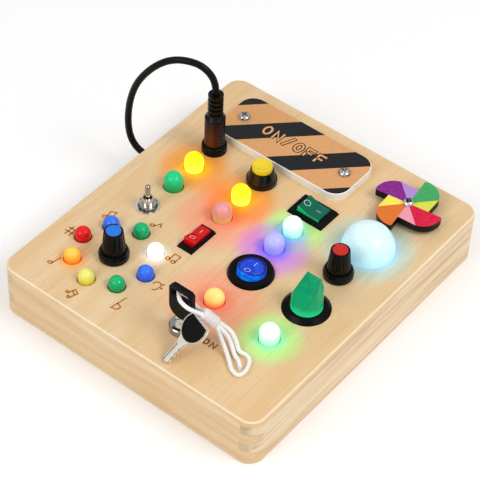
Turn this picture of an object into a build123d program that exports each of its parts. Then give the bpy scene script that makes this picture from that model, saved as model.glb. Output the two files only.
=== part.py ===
from build123d import *
import math
import os

# Wooden busy board. Millimetres. Origin at the middle of the underside, +X to the right along the
# front edge, +Y away from the user, +Z up.

# ---- Box ----
BOX_W = 154.0
BOX_D = 180.0
BOX_H = 29.5
PANEL_T = 3.0        # top panel
BASE_T = 2.5         # bottom panel
WALL_T = 8.0
CORNER_R = 8.0       # corners seen from above, all the way up
EDGE_R = 1.4         # rounding along the top edge
FINGERS = 4          # finger-joint fingers over the wall height
FIT = 0.1            # clearance around a fitting in its hole, per side
SLIP = 0.05          # radial clearance of a turning or sliding fit

TOP = BOX_H
UNDER = BOX_H - PANEL_T
WALL_H = UNDER - BASE_T

LAYOUT_W = 154.0     # the board that the fittings' places are given for
LAYOUT_D = 180.0


def laid_out(x, y):
    """A place on the board: it moves in proportion when the box changes."""
    return x * BOX_W / LAYOUT_W, y * BOX_D / LAYOUT_D


# ---- Fasteners ----
BASE_SCREW_D = 2.6
BASE_SCREW_HEAD_D = 5.0
BASE_SCREW_L = 12.0
BASE_SCREW_INSET = 4.0      # from the outside of the box to the screw's axis
PLATE_SCREW_D = 2.8
PLATE_SCREW_HEAD_D = 6.4
PLATE_SCREW_HEAD_H = 1.7
PLATE_SCREW_L = 9.0
HEAD_RIM = 0.3              # of a pan head's height: its straight rim
RECESS_LONG = 0.62          # of its diameter: the arms of its cross recess
RECESS_WIDE = 0.18
RECESS_FLOOR = 0.3          # of its height: what is left under the recess

# ---- Label plate ----
PLATE_X = laid_out(-18.9, 0)[0]
PLATE_BACK = 10.6           # from the box's back edge to the plate
PLATE_CLEAR = 1.6           # from the power socket's head to the plate
PLATE_W = 81.0
PLATE_T = 4.5
PLATE_R = 8.5
PLATE_SCREW_PITCH = 63.4

# ---- Battery tray, cells and their cover ----
CELL_D = 10.5
CELL_L = 44.5
CELLS = 3
CELL_GAP = 0.6
TRAY_WALL = 1.2
TRAY_H = 11.0
TRAY_X = laid_out(-19.0, 0)[0]
TRAY_CLEAR = 1.15           # from the back wall
COVER_T = 1.5
COVER_W = 58.0
COVER_D = 36.0

# ---- Circuit board ----
PCB_X, PCB_Y = laid_out(4.0, -8.0)
PCB_W = 62.0
PCB_D = 52.0
PCB_T = 1.6
POST_H = 3.0
POST_D = 5.0
POST_INSET = 4.0

# ---- Lamps ----
LAMP_D = 9.8
LAMP_H = 9.0               # above the board
ORANGE_H = 7.0
LAMP_HOLE_D = 10.5
SMALL_LAMP_D = 8.1
SMALL_LAMP_H = 6.0
SMALL_LAMP_HOLE_D = 8.8
LAMP_RIM = 0.9             # flange under the board, beyond the lens
LAMP_RIM_T = 1.0
LEAD_D = 0.6
LEAD_PITCH = 2.54
LEAD_L = 10.0
YELLOW_LAMPS = [laid_out(-49.6, 21.3), laid_out(-17.5, 18.6)]
GREEN_LAMPS = [laid_out(-48.6, 4.2)]
PINK_LAMPS = [laid_out(-16.7, 2.9)]
WHITE_LAMPS = [laid_out(15.4, 17.6), laid_out(49.2, -44.0)]
VIOLET_LAMPS = [laid_out(15.6, 2.6)]
ORANGE_LAMPS = [laid_out(15.4, -42.4)]
RING_X, RING_Y = laid_out(-39.4, -50.8)
RING_R = 19.8
RING_COLOURS = ["blue", "white", "green", "blue", "red", "orange", "yellow", "green"]
RING_START = 0.0           # angle of the first of them

# ---- Dome ----
DOME_X, DOME_Y = laid_out(50.1, 32.0)
DOME_D = 26.3
DOME_H = 14.3
DOME_WALL = 1.2

# ---- Knobs, both alike ----
DIMMER_X, DIMMER_Y = laid_out(49.4, 8.8)
MUSIC_POINTER = 91.0       # degrees, counter-clockwise from +X
DIMMER_POINTER = 154.0
KNOB_D = 15.0
KNOB_GAP = 0.5             # over the board
KNOB_SKIRT_H = 3.0
KNOB_SKIRT_TOP_D = 13.5
KNOB_SKIRT_TOP_H = 4.8
KNOB_GRIP_D = 11.8
KNOB_TIP_D = 9.4
KNOB_H = 17.0
KNOB_RIBS = 18
KNOB_RIB = 0.2
KNOB_WALL = 1.2
CAP_D = 7.5
CAP_T = 0.8
CAP_PROUD = 0.25
POINTER_W = 3.2
SHAFT_D = 6.0
BUSH_D = 7.0
BUSH_H = 2.4               # above the board
NUT_FLATS = 10.0
NUT_T = 1.8
ROTARY_D = 16.5
ROTARY_H = 8.0

# ---- Toggle ----
TOGGLE_X, TOGGLE_Y = laid_out(-49.0, -14.9)
TOGGLE_BUSH_D = 5.8
TOGGLE_BUSH_H = 6.15
TOGGLE_BORE_D = 4.5
TOGGLE_WASHER_D = 12.4
TOGGLE_WASHER_T = 0.7
TOGGLE_NUT_FLATS = 8.4
TOGGLE_NUT_T = 2.0
TOGGLE_PIVOT_H = 3.9
TOGGLE_TIP_H = 14.4
TOGGLE_TIP_D = 2.9
TOGGLE_NECK_D = 2.2
TOGGLE_TAIL_D = 1.2
TOGGLE_TAIL_L = 5.6
TOGGLE_BODY_W = 8.0
TOGGLE_BODY_D = 13.0
TOGGLE_BODY_H = 9.5

# ---- Push button ----
BUTTON_X, BUTTON_Y = laid_out(-17.9, 35.6)
BUTTON_BASE_D = 15.6
BUTTON_BASE_H = 2.5
BUTTON_TOP_D = 11.4
BUTTON_TOP_H = 8.2
BUTTON_CAP_D = 10.3
BUTTON_CAP_TOP = 10.9
BUTTON_DISH = 1.0
BUTTON_NECK_D = 12.0
BUTTON_NECK_L = 12.0       # below the board's underside
BUTTON_FLOOR = 1.5
BUTTON_CAP_L = 13.0
BUTTON_NUT_FLATS = 14.5
BUTTON_NUT_T = 2.5

# ---- Rocker switches: bezel, opening, body ----
BEZEL_H = 2.0
BEZEL_SLOPE = 0.9          # how far the bezel's sides lean in over its height
ROCK_ANGLE = 10.0          # each way from level
ROCK_FACE = 3.1            # pivot to the face, so a pressed face stands a little over the bezel
ROCK_KEEL = 2.0            # depth of the rocker below its pivot
ROCK_EDGE = 0.4            # rounding of the edges around the face
ROCK_GAP = 0.3
ROCK_PIN_D = 1.6
ROCK_PIN_L = 0.7           # reach of each pin into the housing
SWITCH_DEPTH = 12.0        # body below the board's top
TERMINAL_W = 4.8
TERMINAL_T = 0.8
TERMINAL_L = 5.0
RED_X, RED_Y = laid_out(-16.3, -17.0)
RED_W = 9.2
RED_L = 19.0
RED_ROCK_W = 6.0
RED_ROCK_L = 13.0
RED_BODY_W = 8.6
RED_BODY_L = 17.4
GREEN_X, GREEN_Y = laid_out(15.2, 34.1)
GREEN_L = 21.0
GREEN_W = 15.0
GREEN_ROCK_L = 13.0
GREEN_ROCK_W = 10.0
GREEN_BODY_L = 18.8
GREEN_BODY_W = 12.9
BLUE_X, BLUE_Y = laid_out(17.2, -17.1)
BLUE_D = 23.0
BLUE_ROCK_D = 14.2
BLUE_BODY_D = 19.4

# ---- Selector ----
SELECT_X, SELECT_Y = laid_out(50.7, -17.7)
SELECT_BASE_D = 23.8
SELECT_BASE_TOP_D = 19.5
SELECT_BASE_H = 2.0
SELECT_SEAT = 0.4          # depth of the seat around the handle
SELECT_NECK_D = 12.0
SELECT_NECK_L = 9.0
SELECT_NUT_FLATS = 16.0
SELECT_NUT_T = 2.5
SELECT_STEM_D = 6.0
SELECT_STEM_L = 9.0
SELECT_BODY = 17.0
SELECT_BODY_H = 8.0
HANDLE_D = 15.6
HANDLE_TOP_D = 14.4
HANDLE_H = 23.0
HANDLE_FOOT = 2.5          # plain round foot below the slopes
HANDLE_RIDGE_T = 1.8
HANDLE_RIDGE_BACK = -2.0   # ridge from here
HANDLE_RIDGE_FRONT = 6.6   # to here, along X
HANDLE_BULGE_H = 15.5      # the back slope is bent at this height
HANDLE_BULGE_BACK = -5.9   # and this far along X
HANDLE_EDGE = 0.7
HANDLE_GAP = 0.15

# ---- Pinwheel ----
SPIN_X, SPIN_Y = laid_out(50.3, 64.4)
SPIN_TOP = 6.5
SPIN_T = 4.0
SPIN_CLEAR = 0.95          # from the dome to the turning blades
SPIN_NOTCH = 0.596         # radius of the notch between two blades, as a share of the tips'
SPIN_MIDDLE = 0.962        # the same for the middle of the curved back edge
SPIN_BACK = 0.82           # and for its end
SPIN_BLADES = 4
SPIN_TIP_ANGLE = 7.5       # of the first blade
SPIN_TIP_ROUND = 0.9
SPIN_BORE_D = 3.2
SPIN_SCREW_D = 3.0
SPIN_HEAD_D = 5.8
SPIN_HEAD_H = 1.9
SPIN_SPACER_D = 7.0
SPIN_PLAY = 0.1            # up and down

# ---- Power socket, plug and its hole in the wall ----
SOCKET_X, SOCKET_Y = laid_out(-50.3, 38.1)
SOCKET_HEAD_D = 13.0
SOCKET_HEAD_H = 4.8
SOCKET_NECK_D = 10.8
SOCKET_NECK_L = 11.0
SOCKET_NUT_FLATS = 13.0
SOCKET_NUT_T = 2.4
SOCKET_BORE_L = 10.8
SOCKET_PIN_D = 2.0
BARREL_D = 5.5
BARREL_BORE_D = 2.5
BARREL_L = 9.5
BARREL_SUNK = 4.0          # in the plug's moulding
PLUG_GAP = 0.7             # plug over socket
PLUG_D = 10.5
PLUG_RIB = 0.25
PLUG_RIBS = 7
PLUG_BODY_L = 16.5
PLUG_SHOULDER = 1.6
RELIEF_D = 7.8
RELIEF_L = 13.2
RELIEF_GROOVES = 4
RELIEF_GROOVE = 1.1
CORD_D = 3.6
GROMMET_Y = laid_out(0, 23.9)[1]
GROMMET_Z = 15.1
GROMMET_D = 8.0
GROMMET_FLANGE_T = 1.2
GROMMET_NECK_D = 6.0
CORD_ROUTE = [
    (-50.3, 38.1, 66.5),
    (-50.6, 38.0, 73.1),
    (-53.9, 36.8, 79.4),
    (-60.0, 34.6, 83.3),
    (-71.0, 30.5, 82.4),
    (-80.7, 27.0, 74.7),
    (-89.1, 24.0, 62.0),
    (-92.9, 22.7, 48.8),
    (-94.1, 22.2, 35.4),
    (-93.3, 22.5, 24.8),
    (-90.2, 23.0, 18.6),
    (-85.0, 23.9, 15.1),
    (-78.2, 23.9, 15.1),
]

# ---- Key switch ----
LOCK_X, LOCK_Y = laid_out(14.7, -65.4)
LOCK_D = 12.0
LOCK_H = 4.0
LOCK_NECK_D = 10.0
LOCK_NECK_L = 15.0
LOCK_NUT_FLATS = 13.0
LOCK_NUT_T = 2.5
CORE_D = 7.6
CORE_L = 14.0
CORE_SUNK = 0.3
KEY_BLADE_W = 6.0
KEY_BLADE_T = 1.6
KEY_BLADE_REACH = 10.0     # below the lock's face
KEY_W = 13.4
KEY_T = 3.5
KEY_FOOT_H = 8.0           # rounded lower end of the head, above the board
KEY_TOP_H = 27.2
KEY_CHAMFER = 1.6
KEY_SLOT_W = 10.2
KEY_SLOT_LOW = 20.6
KEY_SLOT_HIGH = 25.2
KEY_BLADE_IN_HEAD = 5.0

# ---- Spare key, leaning: middle of its head and its tip, from the lock's axis and the board ----
SPARE_HEAD = (12.9, -6.25, 14.9)
SPARE_TIP = (7.5, -20.6, 0.9)
SPARE_D = 15.2
SPARE_T = 1.6
SPARE_INSET = 0.7          # nickel rim around the black insert
SPARE_INSERT_T = 2.4
SPARE_FLAT = 4.5           # middle of the head to its flat end
SPARE_BLADE_W = 4.2
SPARE_NECK_W = 7.0
SPARE_NECK_L = 4.0
SPARE_CUTS = 3
SPARE_CUT = 0.9

# ---- Lanyard: points from the lock's axis and the board's top ----
LANYARD_D = 2.0
BEAD_D = 6.4
BEAD_IN = (10.8, 1.2, 17.8)
BEAD_OUT = (16.6, 4.9, 11.1)
RING_ROUTE = [
    (12.0, 0.9, 17.3),
    (8.1, -3.8, 21.5),
    (4.4, -4.2, 22.6),
    (1.0, -3.4, 23.2),
    (-2.6, 0.6, 22.8),
    (-5.6, 4.4, 20.6),
    (-5.6, 8.3, 17.4),
    (-1.6, 10.8, 15.0),
    (3.9, 10.9, 14.8),
    (8.3, 7.6, 16.0),
    (11.4, 2.6, 17.1),
]
LOOP_ROUTE = [
    (15.7, 5.8, 11.8),
    (18.6, 7.7, 9.2),
    (22.8, 8.7, 6.7),
    (26.6, 7.2, 3.9),
    (29.8, 4.9, 1.6),
    (33.4, 6.3, 1.05),
    (37.0, 4.3, 1.05),
    (39.3, -1.6, 1.05),
    (38.5, -6.4, 1.05),
    (33.5, -5.4, 1.05),
    (29.3, -1.6, 1.05),
    (24.8, 1.4, 2.6),
    (20.6, 2.9, 6.2),
    (16.4, 4.2, 11.2),
]
TAIL_ROUTE = [
    (15.5, 4.9, 10.8),
    (18.9, 5.9, 8.1),
    (22.7, 6.1, 5.6),
    (26.2, 4.4, 3.0),
    (29.6, 2.2, 1.05),
    (33.0, 1.0, 1.05),
    (36.0, -2.0, 1.05),
]

# ---- Small details ----
BASE_SCREW_CORNER = 20.0    # from the ends of the box to the screws in the side walls
SCREW_SLOT = 0.8
SCREW_SLOT_LONG = 0.7       # of the head's diameter
COVER_SCREW_INSET = 3.0
COVER_SCREW_L = 6.0
BASE_EDGE = 0.6
PLATE_EDGE = 0.4
CELL_NUB = 1.0
CELL_NUB_D = 4.0
CHIP_SHIFT = 16.0
CHIP_W = 12.0
CHIP_D = 8.0
CHIP_H = 1.4
CAPACITOR_D = 6.0
CAPACITOR_H = 4.0
POINTER_TIP = 0.9
SHAFT_FOOT = 1.5           # closed end of the rotary body below the shaft
TAG_PITCH = 3.0
TAG_W = 1.6
TAG_T = 0.8
TAG_L = 6.0
TOGGLE_TAG_PITCH = 4.0
TOGGLE_TAG_L = 3.0
BUTTON_STEP = 0.8          # the taper starts this much smaller than the base
BUTTON_ROUND = 0.5
SPIN_MIDDLE_TURN = 30.7    # degrees from a blade's tip back to the middle of its curved edge
SPIN_BACK_TURN = 50.5      # and to its end
SPIN_THREAD_L = 4.0
SPIN_NUT_T = 2.4
SPIN_NUT_FLATS = 5.5
SOCKET_ROUND = 1.5
GROMMET_ROUND = 0.5
LOCK_CHAMFER = 0.5
KEY_SLOT_R = 1.6
KEY_EDGE = 0.5
SPARE_GROOVE = 0.5
BEAD_ROUND = 1.6
BEND_SHARE = 0.45           # of a cord's shorter run that a bend takes up

# ---- Worked out from the sizes above ----
TRAY_Y = BOX_D / 2 - WALL_T - TRAY_CLEAR - TRAY_WALL - CELLS * (CELL_D + CELL_GAP) / 2
PLATE_FRONT = SOCKET_Y + SOCKET_HEAD_D / 2 + PLATE_CLEAR
PLATE_D = BOX_D / 2 - PLATE_BACK - PLATE_FRONT
PLATE_Y = PLATE_FRONT + PLATE_D / 2
SPIN_TIP_R = math.hypot(SPIN_X - DOME_X, SPIN_Y - DOME_Y) - DOME_D / 2 - SPIN_CLEAR

ON_BASE = (Align.CENTER, Align.CENTER, Align.MIN)
MARGIN = 1.0         # how far a cutter runs past the face that it opens


def disc(x, y, low, high, dia):
    return Pos(x, y, low) * Cylinder(dia / 2, high - low, align=ON_BASE)


def cone(x, y, low, high, low_dia, high_dia):
    return Pos(x, y, low) * Cone(low_dia / 2, high_dia / 2, high - low, align=ON_BASE)


def block(x, y, low, high, width, depth):
    return Pos(x, y, low) * Box(width, depth, high - low, align=ON_BASE)


def hex_nut(x, y, low, thick, flats, bore):
    section = RegularPolygon(flats / 2, 6, major_radius=False) - Circle(bore / 2)
    return Pos(x, y, low) * extrude(section, thick)


def turned(x, y, low, points):
    """A turned piece from (radius, height) points, its axis upright."""
    outline = [(radius, 0, height) for radius, height in points]
    return Pos(x, y, low) * revolve(make_face(Polyline(*outline, close=True)), Axis.Z)


def pan_head(x, y, low, dia, height):
    """A domed screw head with a cross recess."""
    radius = dia / 2
    rim = HEAD_RIM * height
    edge = Line((0, 0, 0), (radius, 0, 0)) + Line((radius, 0, 0), (radius, 0, rim))
    edge += TangentArc((radius, 0, rim), (0, 0, height), tangent=(-0.2, 0, 1))
    edge += Line((0, 0, height), (0, 0, 0))
    head = revolve(make_face(edge), Axis.Z)
    long, wide = RECESS_LONG * dia, RECESS_WIDE * dia
    cross = Box(long, wide, height, align=ON_BASE) + Box(wide, long, height, align=ON_BASE)
    return Pos(x, y, low) * (head - Pos(0, 0, RECESS_FLOOR * height) * cross)


def bend_radii(points):
    """The largest even bends that the runs of a route allow."""
    radii = []
    for before, corner, after in zip(points, points[1:], points[2:]):
        run_in = Vector(*corner) - Vector(*before)
        run_out = Vector(*after) - Vector(*corner)
        half_turn = math.radians(run_in.get_angle(run_out) / 2)
        radii.append(BEND_SHARE * min(run_in.length, run_out.length) / math.tan(half_turn))
    return radii


def tube(name, points, dia):
    """A round cord: straight runs joined by tangent arcs."""
    radii = bend_radii(points)
    path = FilletPolyline(*points, radius=radii)
    solid = sweep(Plane(origin=path @ 0, z_dir=path % 0) * Circle(dia / 2), path=path)
    expected = path.length * math.pi * dia**2 / 4
    print(name, "length", round(path.length, 1), "radii", [round(r, 1) for r in radii])
    print(name, "volume over section times length", round(solid.volume / expected, 4))
    return solid


def save(name, *pieces):
    solids = [solid for piece in pieces for solid in piece.solids()]
    export_step(solids[0] if len(solids) == 1 else Compound(solids), f"parts/{name}.step")


# ---- Box ----

def outline():
    return RectangleRounded(BOX_W, BOX_D, CORNER_R)


def wall(across, turn):
    """A wall with fingers: it holds the corners on every other level, the side walls on the rest."""
    run, offset = (BOX_W, BOX_D) if across else (BOX_D, BOX_W)
    finger_h = WALL_H / FINGERS
    solid = None
    for level in range(FINGERS):
        owns_corners = (level % 2 == 0) == across
        length = run if owns_corners else run - 2 * WALL_T
        strip = Rectangle(length, WALL_T)
        placed = Rot(0, 0, turn) * Pos(0, WALL_T / 2 - offset / 2) * strip
        piece = Pos(0, 0, BASE_T + level * finger_h) * extrude(placed & outline(), finger_h)
        solid = piece if solid is None else solid + piece
    return solid


def base_screw_spots():
    side_x = BOX_W / 2 - BASE_SCREW_INSET
    side_y = BOX_D / 2 - BASE_SCREW_CORNER
    end_y = BOX_D / 2 - BASE_SCREW_INSET
    return [(sx * side_x, sy * side_y) for sx in (-1, 1) for sy in (-1, 1)] + [(0, -end_y), (0, end_y)]


def cover_screw_spot():
    return TRAY_X + COVER_W / 2 - COVER_SCREW_INSET, TRAY_Y


def base_screw(x, y, length):
    """A countersunk screw, head flush with the underside."""
    head_h = (BASE_SCREW_HEAD_D - BASE_SCREW_D) / 2
    head = cone(x, y, 0, head_h, BASE_SCREW_HEAD_D, BASE_SCREW_D)
    arm = SCREW_SLOT_LONG * BASE_SCREW_HEAD_D
    cross = block(x, y, -MARGIN, SCREW_SLOT, SCREW_SLOT, arm)
    cross += block(x, y, -MARGIN, SCREW_SLOT, arm, SCREW_SLOT)
    return head + disc(x, y, 0, length, BASE_SCREW_D) - cross


def base_screw_hole(x, y, length):
    head_h = (BASE_SCREW_HEAD_D - BASE_SCREW_D) / 2
    sink = cone(x, y, 0, head_h, BASE_SCREW_HEAD_D + 2 * FIT, BASE_SCREW_D + 2 * FIT)
    return sink + disc(x, y, -MARGIN, length + FIT, BASE_SCREW_D + 2 * FIT)


def make_walls():
    bores = [base_screw_hole(x, y, BASE_SCREW_L) for x, y in base_screw_spots()]
    cord_bore = Pos(-BOX_W / 2, GROMMET_Y, GROMMET_Z) * Rot(0, 90, 0) * Cylinder(
        GROMMET_NECK_D / 2 + FIT, 4 * WALL_T)
    save("front_wall", wall(True, 0) - bores)
    save("back_wall", wall(True, 180) - bores)
    save("left_wall", wall(False, -90) - bores - cord_bore)
    save("right_wall", wall(False, 90) - bores)


def tray_inner():
    return CELL_L + 2 * CELL_GAP, CELLS * (CELL_D + CELL_GAP)


def make_base():
    panel = extrude(outline(), BASE_T)
    panel = chamfer(panel.edges().group_by(Axis.Z)[0], BASE_EDGE)
    post_x = PCB_W / 2 - POST_INSET
    post_y = PCB_D / 2 - POST_INSET
    for sx in (-1, 1):
        for sy in (-1, 1):
            panel += disc(PCB_X + sx * post_x, PCB_Y + sy * post_y, BASE_T, BASE_T + POST_H, POST_D)
    inner_w, inner_d = tray_inner()
    panel -= block(TRAY_X, TRAY_Y, -MARGIN, COVER_T, COVER_W, COVER_D)
    panel -= block(TRAY_X, TRAY_Y, -MARGIN, BASE_T + MARGIN, inner_w, inner_d)
    panel -= [base_screw_hole(x, y, BASE_SCREW_L) for x, y in base_screw_spots()]
    panel -= base_screw_hole(*cover_screw_spot(), COVER_SCREW_L)
    cover = block(TRAY_X, TRAY_Y, 0, COVER_T, COVER_W - 2 * FIT, COVER_D - 2 * FIT)
    cover -= base_screw_hole(*cover_screw_spot(), COVER_SCREW_L)
    save("bottom_panel", panel)
    save("battery_cover", cover)


def make_battery_tray():
    inner_w, inner_d = tray_inner()
    roof = BASE_T + TRAY_H
    tray = block(TRAY_X, TRAY_Y, BASE_T, roof, inner_w + 2 * TRAY_WALL, inner_d + 2 * TRAY_WALL)
    tray -= block(TRAY_X, TRAY_Y, BASE_T - MARGIN, roof - TRAY_WALL, inner_w, inner_d)
    pitch = CELL_D + CELL_GAP
    height = roof - TRAY_WALL - FIT - CELL_D / 2
    cells = []
    for index in range(CELLS):
        way = 1 if index % 2 == 0 else -1
        spot_y = TRAY_Y + (index - (CELLS - 1) / 2) * pitch
        can = Cylinder(CELL_D / 2, CELL_L - CELL_NUB) + Pos(0, 0, (CELL_L - CELL_NUB) / 2) * Cylinder(
            CELL_NUB_D / 2, 2 * CELL_NUB)
        cells.append(Pos(TRAY_X, spot_y, height) * Rot(0, 90 * way, 0) * can)
    save("battery_holder", tray)
    save("battery_cells", *cells)


def make_circuit_board():
    low = BASE_T + POST_H
    board = block(PCB_X, PCB_Y, low, low + PCB_T, PCB_W, PCB_D)
    board += block(PCB_X - CHIP_SHIFT, PCB_Y, low, low + PCB_T + CHIP_H, CHIP_W, CHIP_D)
    board += disc(PCB_X + CHIP_SHIFT, PCB_Y, low, low + PCB_T + CAPACITOR_H, CAPACITOR_D)
    save("circuit_board", board)


def plate_screw_spots():
    return [(PLATE_X + side * PLATE_SCREW_PITCH / 2, PLATE_Y) for side in (-1, 1)]


def make_label_plate():
    plate = Pos(PLATE_X, PLATE_Y, TOP) * extrude(RectangleRounded(PLATE_W, PLATE_D, PLATE_R), PLATE_T)
    plate = chamfer(plate.edges().group_by(Axis.Z)[-1], PLATE_EDGE)
    for x, y in plate_screw_spots():
        plate -= disc(x, y, TOP - MARGIN, TOP + PLATE_T + MARGIN, PLATE_SCREW_D + 2 * FIT)
    save("label_plate", plate)


def make_screws():
    screws = [base_screw(x, y, BASE_SCREW_L) for x, y in base_screw_spots()]
    screws.append(base_screw(*cover_screw_spot(), COVER_SCREW_L))
    face = TOP + PLATE_T
    for x, y in plate_screw_spots():
        shank = disc(x, y, face - PLATE_SCREW_L, face, PLATE_SCREW_D)
        screws.append(shank + pan_head(x, y, face, PLATE_SCREW_HEAD_D, PLATE_SCREW_HEAD_H))
    save("wood_screws", *screws)


# ---- Lamps ----

def lamp(x, y, height, dia):
    """A bullet lamp: dome through the board, rim under it, two leads."""
    low = UNDER - LAMP_RIM_T
    lens = disc(x, y, low, TOP + height - dia / 2, dia)
    lens += Pos(x, y, TOP + height - dia / 2) * Sphere(dia / 2)
    lens += disc(x, y, low, UNDER, dia + 2 * LAMP_RIM)
    for side in (-1, 1):
        lens += disc(x + side * LEAD_PITCH / 2, y, low - LEAD_L, low, LEAD_D)
    return lens


def ring_spots():
    step = 360 / len(RING_COLOURS)
    spots = []
    for index, colour in enumerate(RING_COLOURS):
        angle = math.radians(RING_START + index * step)
        spots.append((colour, RING_X + RING_R * math.cos(angle), RING_Y + RING_R * math.sin(angle)))
    return spots


def make_lamps():
    groups = {"yellow": YELLOW_LAMPS, "green": GREEN_LAMPS, "pink": PINK_LAMPS,
              "white": WHITE_LAMPS, "violet": VIOLET_LAMPS}
    for colour, spots in groups.items():
        save(f"lamp_{colour}", *[lamp(x, y, LAMP_H, LAMP_D) for x, y in spots])
    save("lamp_orange", *[lamp(x, y, ORANGE_H, LAMP_D) for x, y in ORANGE_LAMPS])
    small = {colour: [] for colour in RING_COLOURS}
    for colour, x, y in ring_spots():
        small[colour].append(lamp(x, y, SMALL_LAMP_H, SMALL_LAMP_D))
    small["white"].append(lamp(DOME_X, DOME_Y, SMALL_LAMP_H, SMALL_LAMP_D))
    for colour, lamps in small.items():
        save(f"ring_lamp_{colour}", *lamps)


def dome_body(dia, height):
    straight = height - dia / 2
    body = disc(DOME_X, DOME_Y, TOP - MARGIN, TOP + straight, dia)
    return body + Pos(DOME_X, DOME_Y, TOP + straight) * Sphere(dia / 2)


def make_dome():
    shell = dome_body(DOME_D, DOME_H) - dome_body(DOME_D - 2 * DOME_WALL, DOME_H - DOME_WALL)
    below = block(DOME_X, DOME_Y, TOP - DOME_D, TOP, 2 * DOME_D, 2 * DOME_D)
    save("dome_diffuser", shell - below)


# ---- Knobs ----

def ribbed(dia, height):
    """One level of the ribbed grip: crests and valleys around a circle."""
    crest = dia / 2
    valley = crest - KNOB_RIB
    step = 2 * math.pi / KNOB_RIBS
    points = []
    for rib in range(KNOB_RIBS):
        for share, radius in ((-0.3, crest), (0.12, crest), (0.3, valley), (0.52, valley)):
            angle = (rib + share) * step
            points.append((radius * math.cos(angle), radius * math.sin(angle)))
    return Pos(0, 0, height) * make_face(Polyline(*points, close=True))


def cap_face(gap):
    """Round cap with a pointer that narrows to the knob's rim."""
    reach = KNOB_TIP_D / 2 - KNOB_RIB - gap
    half = POINTER_W / 2 - gap
    pointer = Polygon((0, -half), (reach, -POINTER_TIP / 2), (reach, POINTER_TIP / 2), (0, half), align=None)
    return Circle(CAP_D / 2 - gap) + pointer


def make_knob(name, x, y, pointer):
    knob = disc(0, 0, KNOB_GAP, KNOB_SKIRT_H, KNOB_D)
    knob += cone(0, 0, KNOB_SKIRT_H, KNOB_SKIRT_TOP_H, KNOB_D, KNOB_SKIRT_TOP_D)
    knob += loft([ribbed(KNOB_GRIP_D, KNOB_SKIRT_TOP_H), ribbed(KNOB_TIP_D, KNOB_H)], ruled=True)
    hollow = BUSH_H + KNOB_GAP
    knob -= disc(0, 0, KNOB_GAP - MARGIN, hollow, KNOB_D - 2 * KNOB_WALL)
    knob += disc(0, 0, SHAFT_FOOT - PANEL_T - ROTARY_H, hollow, SHAFT_D)
    seat = KNOB_H - CAP_T + CAP_PROUD
    knob -= Pos(0, 0, seat) * extrude(cap_face(0), CAP_T + MARGIN)
    cap = Pos(0, 0, seat) * extrude(cap_face(SLIP), CAP_T)
    place = Pos(x, y, TOP) * Rot(0, 0, pointer)
    save(name, place * knob)
    save(f"{name}_cap", place * cap)


def make_rotary(name, x, y, tags):
    """Body under the board with the threaded bush that the shaft turns in."""
    body = disc(x, y, UNDER - ROTARY_H, UNDER, ROTARY_D) + disc(x, y, UNDER, TOP + BUSH_H, BUSH_D)
    body -= disc(x, y, UNDER - ROTARY_H + SHAFT_FOOT - FIT, TOP + BUSH_H + MARGIN, SHAFT_D + 2 * SLIP)
    for index in range(tags):
        spot = (index - (tags - 1) / 2) * TAG_PITCH
        body += block(x + spot, y - ROTARY_D / 2, UNDER - ROTARY_H, UNDER - ROTARY_H + TAG_T, TAG_W, TAG_L)
    save(name, body)


# ---- Toggle ----

def make_toggle():
    pivot = TOP + TOGGLE_PIVOT_H
    body = block(TOGGLE_X, TOGGLE_Y, UNDER - TOGGLE_BODY_H, UNDER, TOGGLE_BODY_W, TOGGLE_BODY_D)
    body += disc(TOGGLE_X, TOGGLE_Y, UNDER, TOP + TOGGLE_BUSH_H, TOGGLE_BUSH_D)
    bore_low = pivot - TOGGLE_TAIL_L - TOGGLE_BORE_D / 2
    body -= disc(TOGGLE_X, TOGGLE_Y, bore_low, TOP + TOGGLE_BUSH_H + MARGIN, TOGGLE_BORE_D)
    for spot in (-TOGGLE_TAG_PITCH, 0, TOGGLE_TAG_PITCH):
        low = UNDER - TOGGLE_BODY_H - TOGGLE_TAG_L
        body += block(TOGGLE_X, TOGGLE_Y + spot, low, UNDER - TOGGLE_BODY_H, TAG_W, TAG_T)
    tip_r = TOGGLE_TIP_D / 2
    tip = TOP + TOGGLE_TIP_H - tip_r
    lever = Pos(TOGGLE_X, TOGGLE_Y, pivot) * Sphere(TOGGLE_BORE_D / 2 - SLIP)
    lever += cone(TOGGLE_X, TOGGLE_Y, pivot, tip, TOGGLE_NECK_D, TOGGLE_TIP_D)
    lever += Pos(TOGGLE_X, TOGGLE_Y, tip) * Sphere(tip_r)
    lever += disc(TOGGLE_X, TOGGLE_Y, pivot - TOGGLE_TAIL_L, pivot, TOGGLE_TAIL_D)
    save("toggle_body", body)
    save("toggle_lever", lever)


# ---- Push button ----

def make_button():
    foot = UNDER - BUTTON_NECK_L
    bezel = disc(BUTTON_X, BUTTON_Y, foot, TOP, BUTTON_NECK_D)
    bezel += disc(BUTTON_X, BUTTON_Y, TOP, TOP + BUTTON_BASE_H, BUTTON_BASE_D)
    bezel += cone(BUTTON_X, BUTTON_Y, TOP + BUTTON_BASE_H, TOP + BUTTON_TOP_H,
                  BUTTON_BASE_D - BUTTON_STEP, BUTTON_TOP_D)
    bezel -= disc(BUTTON_X, BUTTON_Y, foot + BUTTON_FLOOR, TOP + BUTTON_TOP_H + MARGIN,
                  BUTTON_CAP_D + 2 * SLIP)
    crown = TOP + BUTTON_CAP_TOP
    cap = disc(BUTTON_X, BUTTON_Y, crown - BUTTON_CAP_L, crown, BUTTON_CAP_D)
    cap = fillet(cap.edges().group_by(Axis.Z)[-1], BUTTON_ROUND)
    dish_r = BUTTON_CAP_D / 2 - BUTTON_ROUND
    ball_r = (dish_r**2 + BUTTON_DISH**2) / (2 * BUTTON_DISH)
    cap -= Pos(BUTTON_X, BUTTON_Y, crown - BUTTON_DISH + ball_r) * Sphere(ball_r)
    save("button_bezel", bezel)
    save("button_cap", cap)


# ---- Rocker switches, built about their pivot: pivot along X, the raised end towards -Y ----

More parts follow.
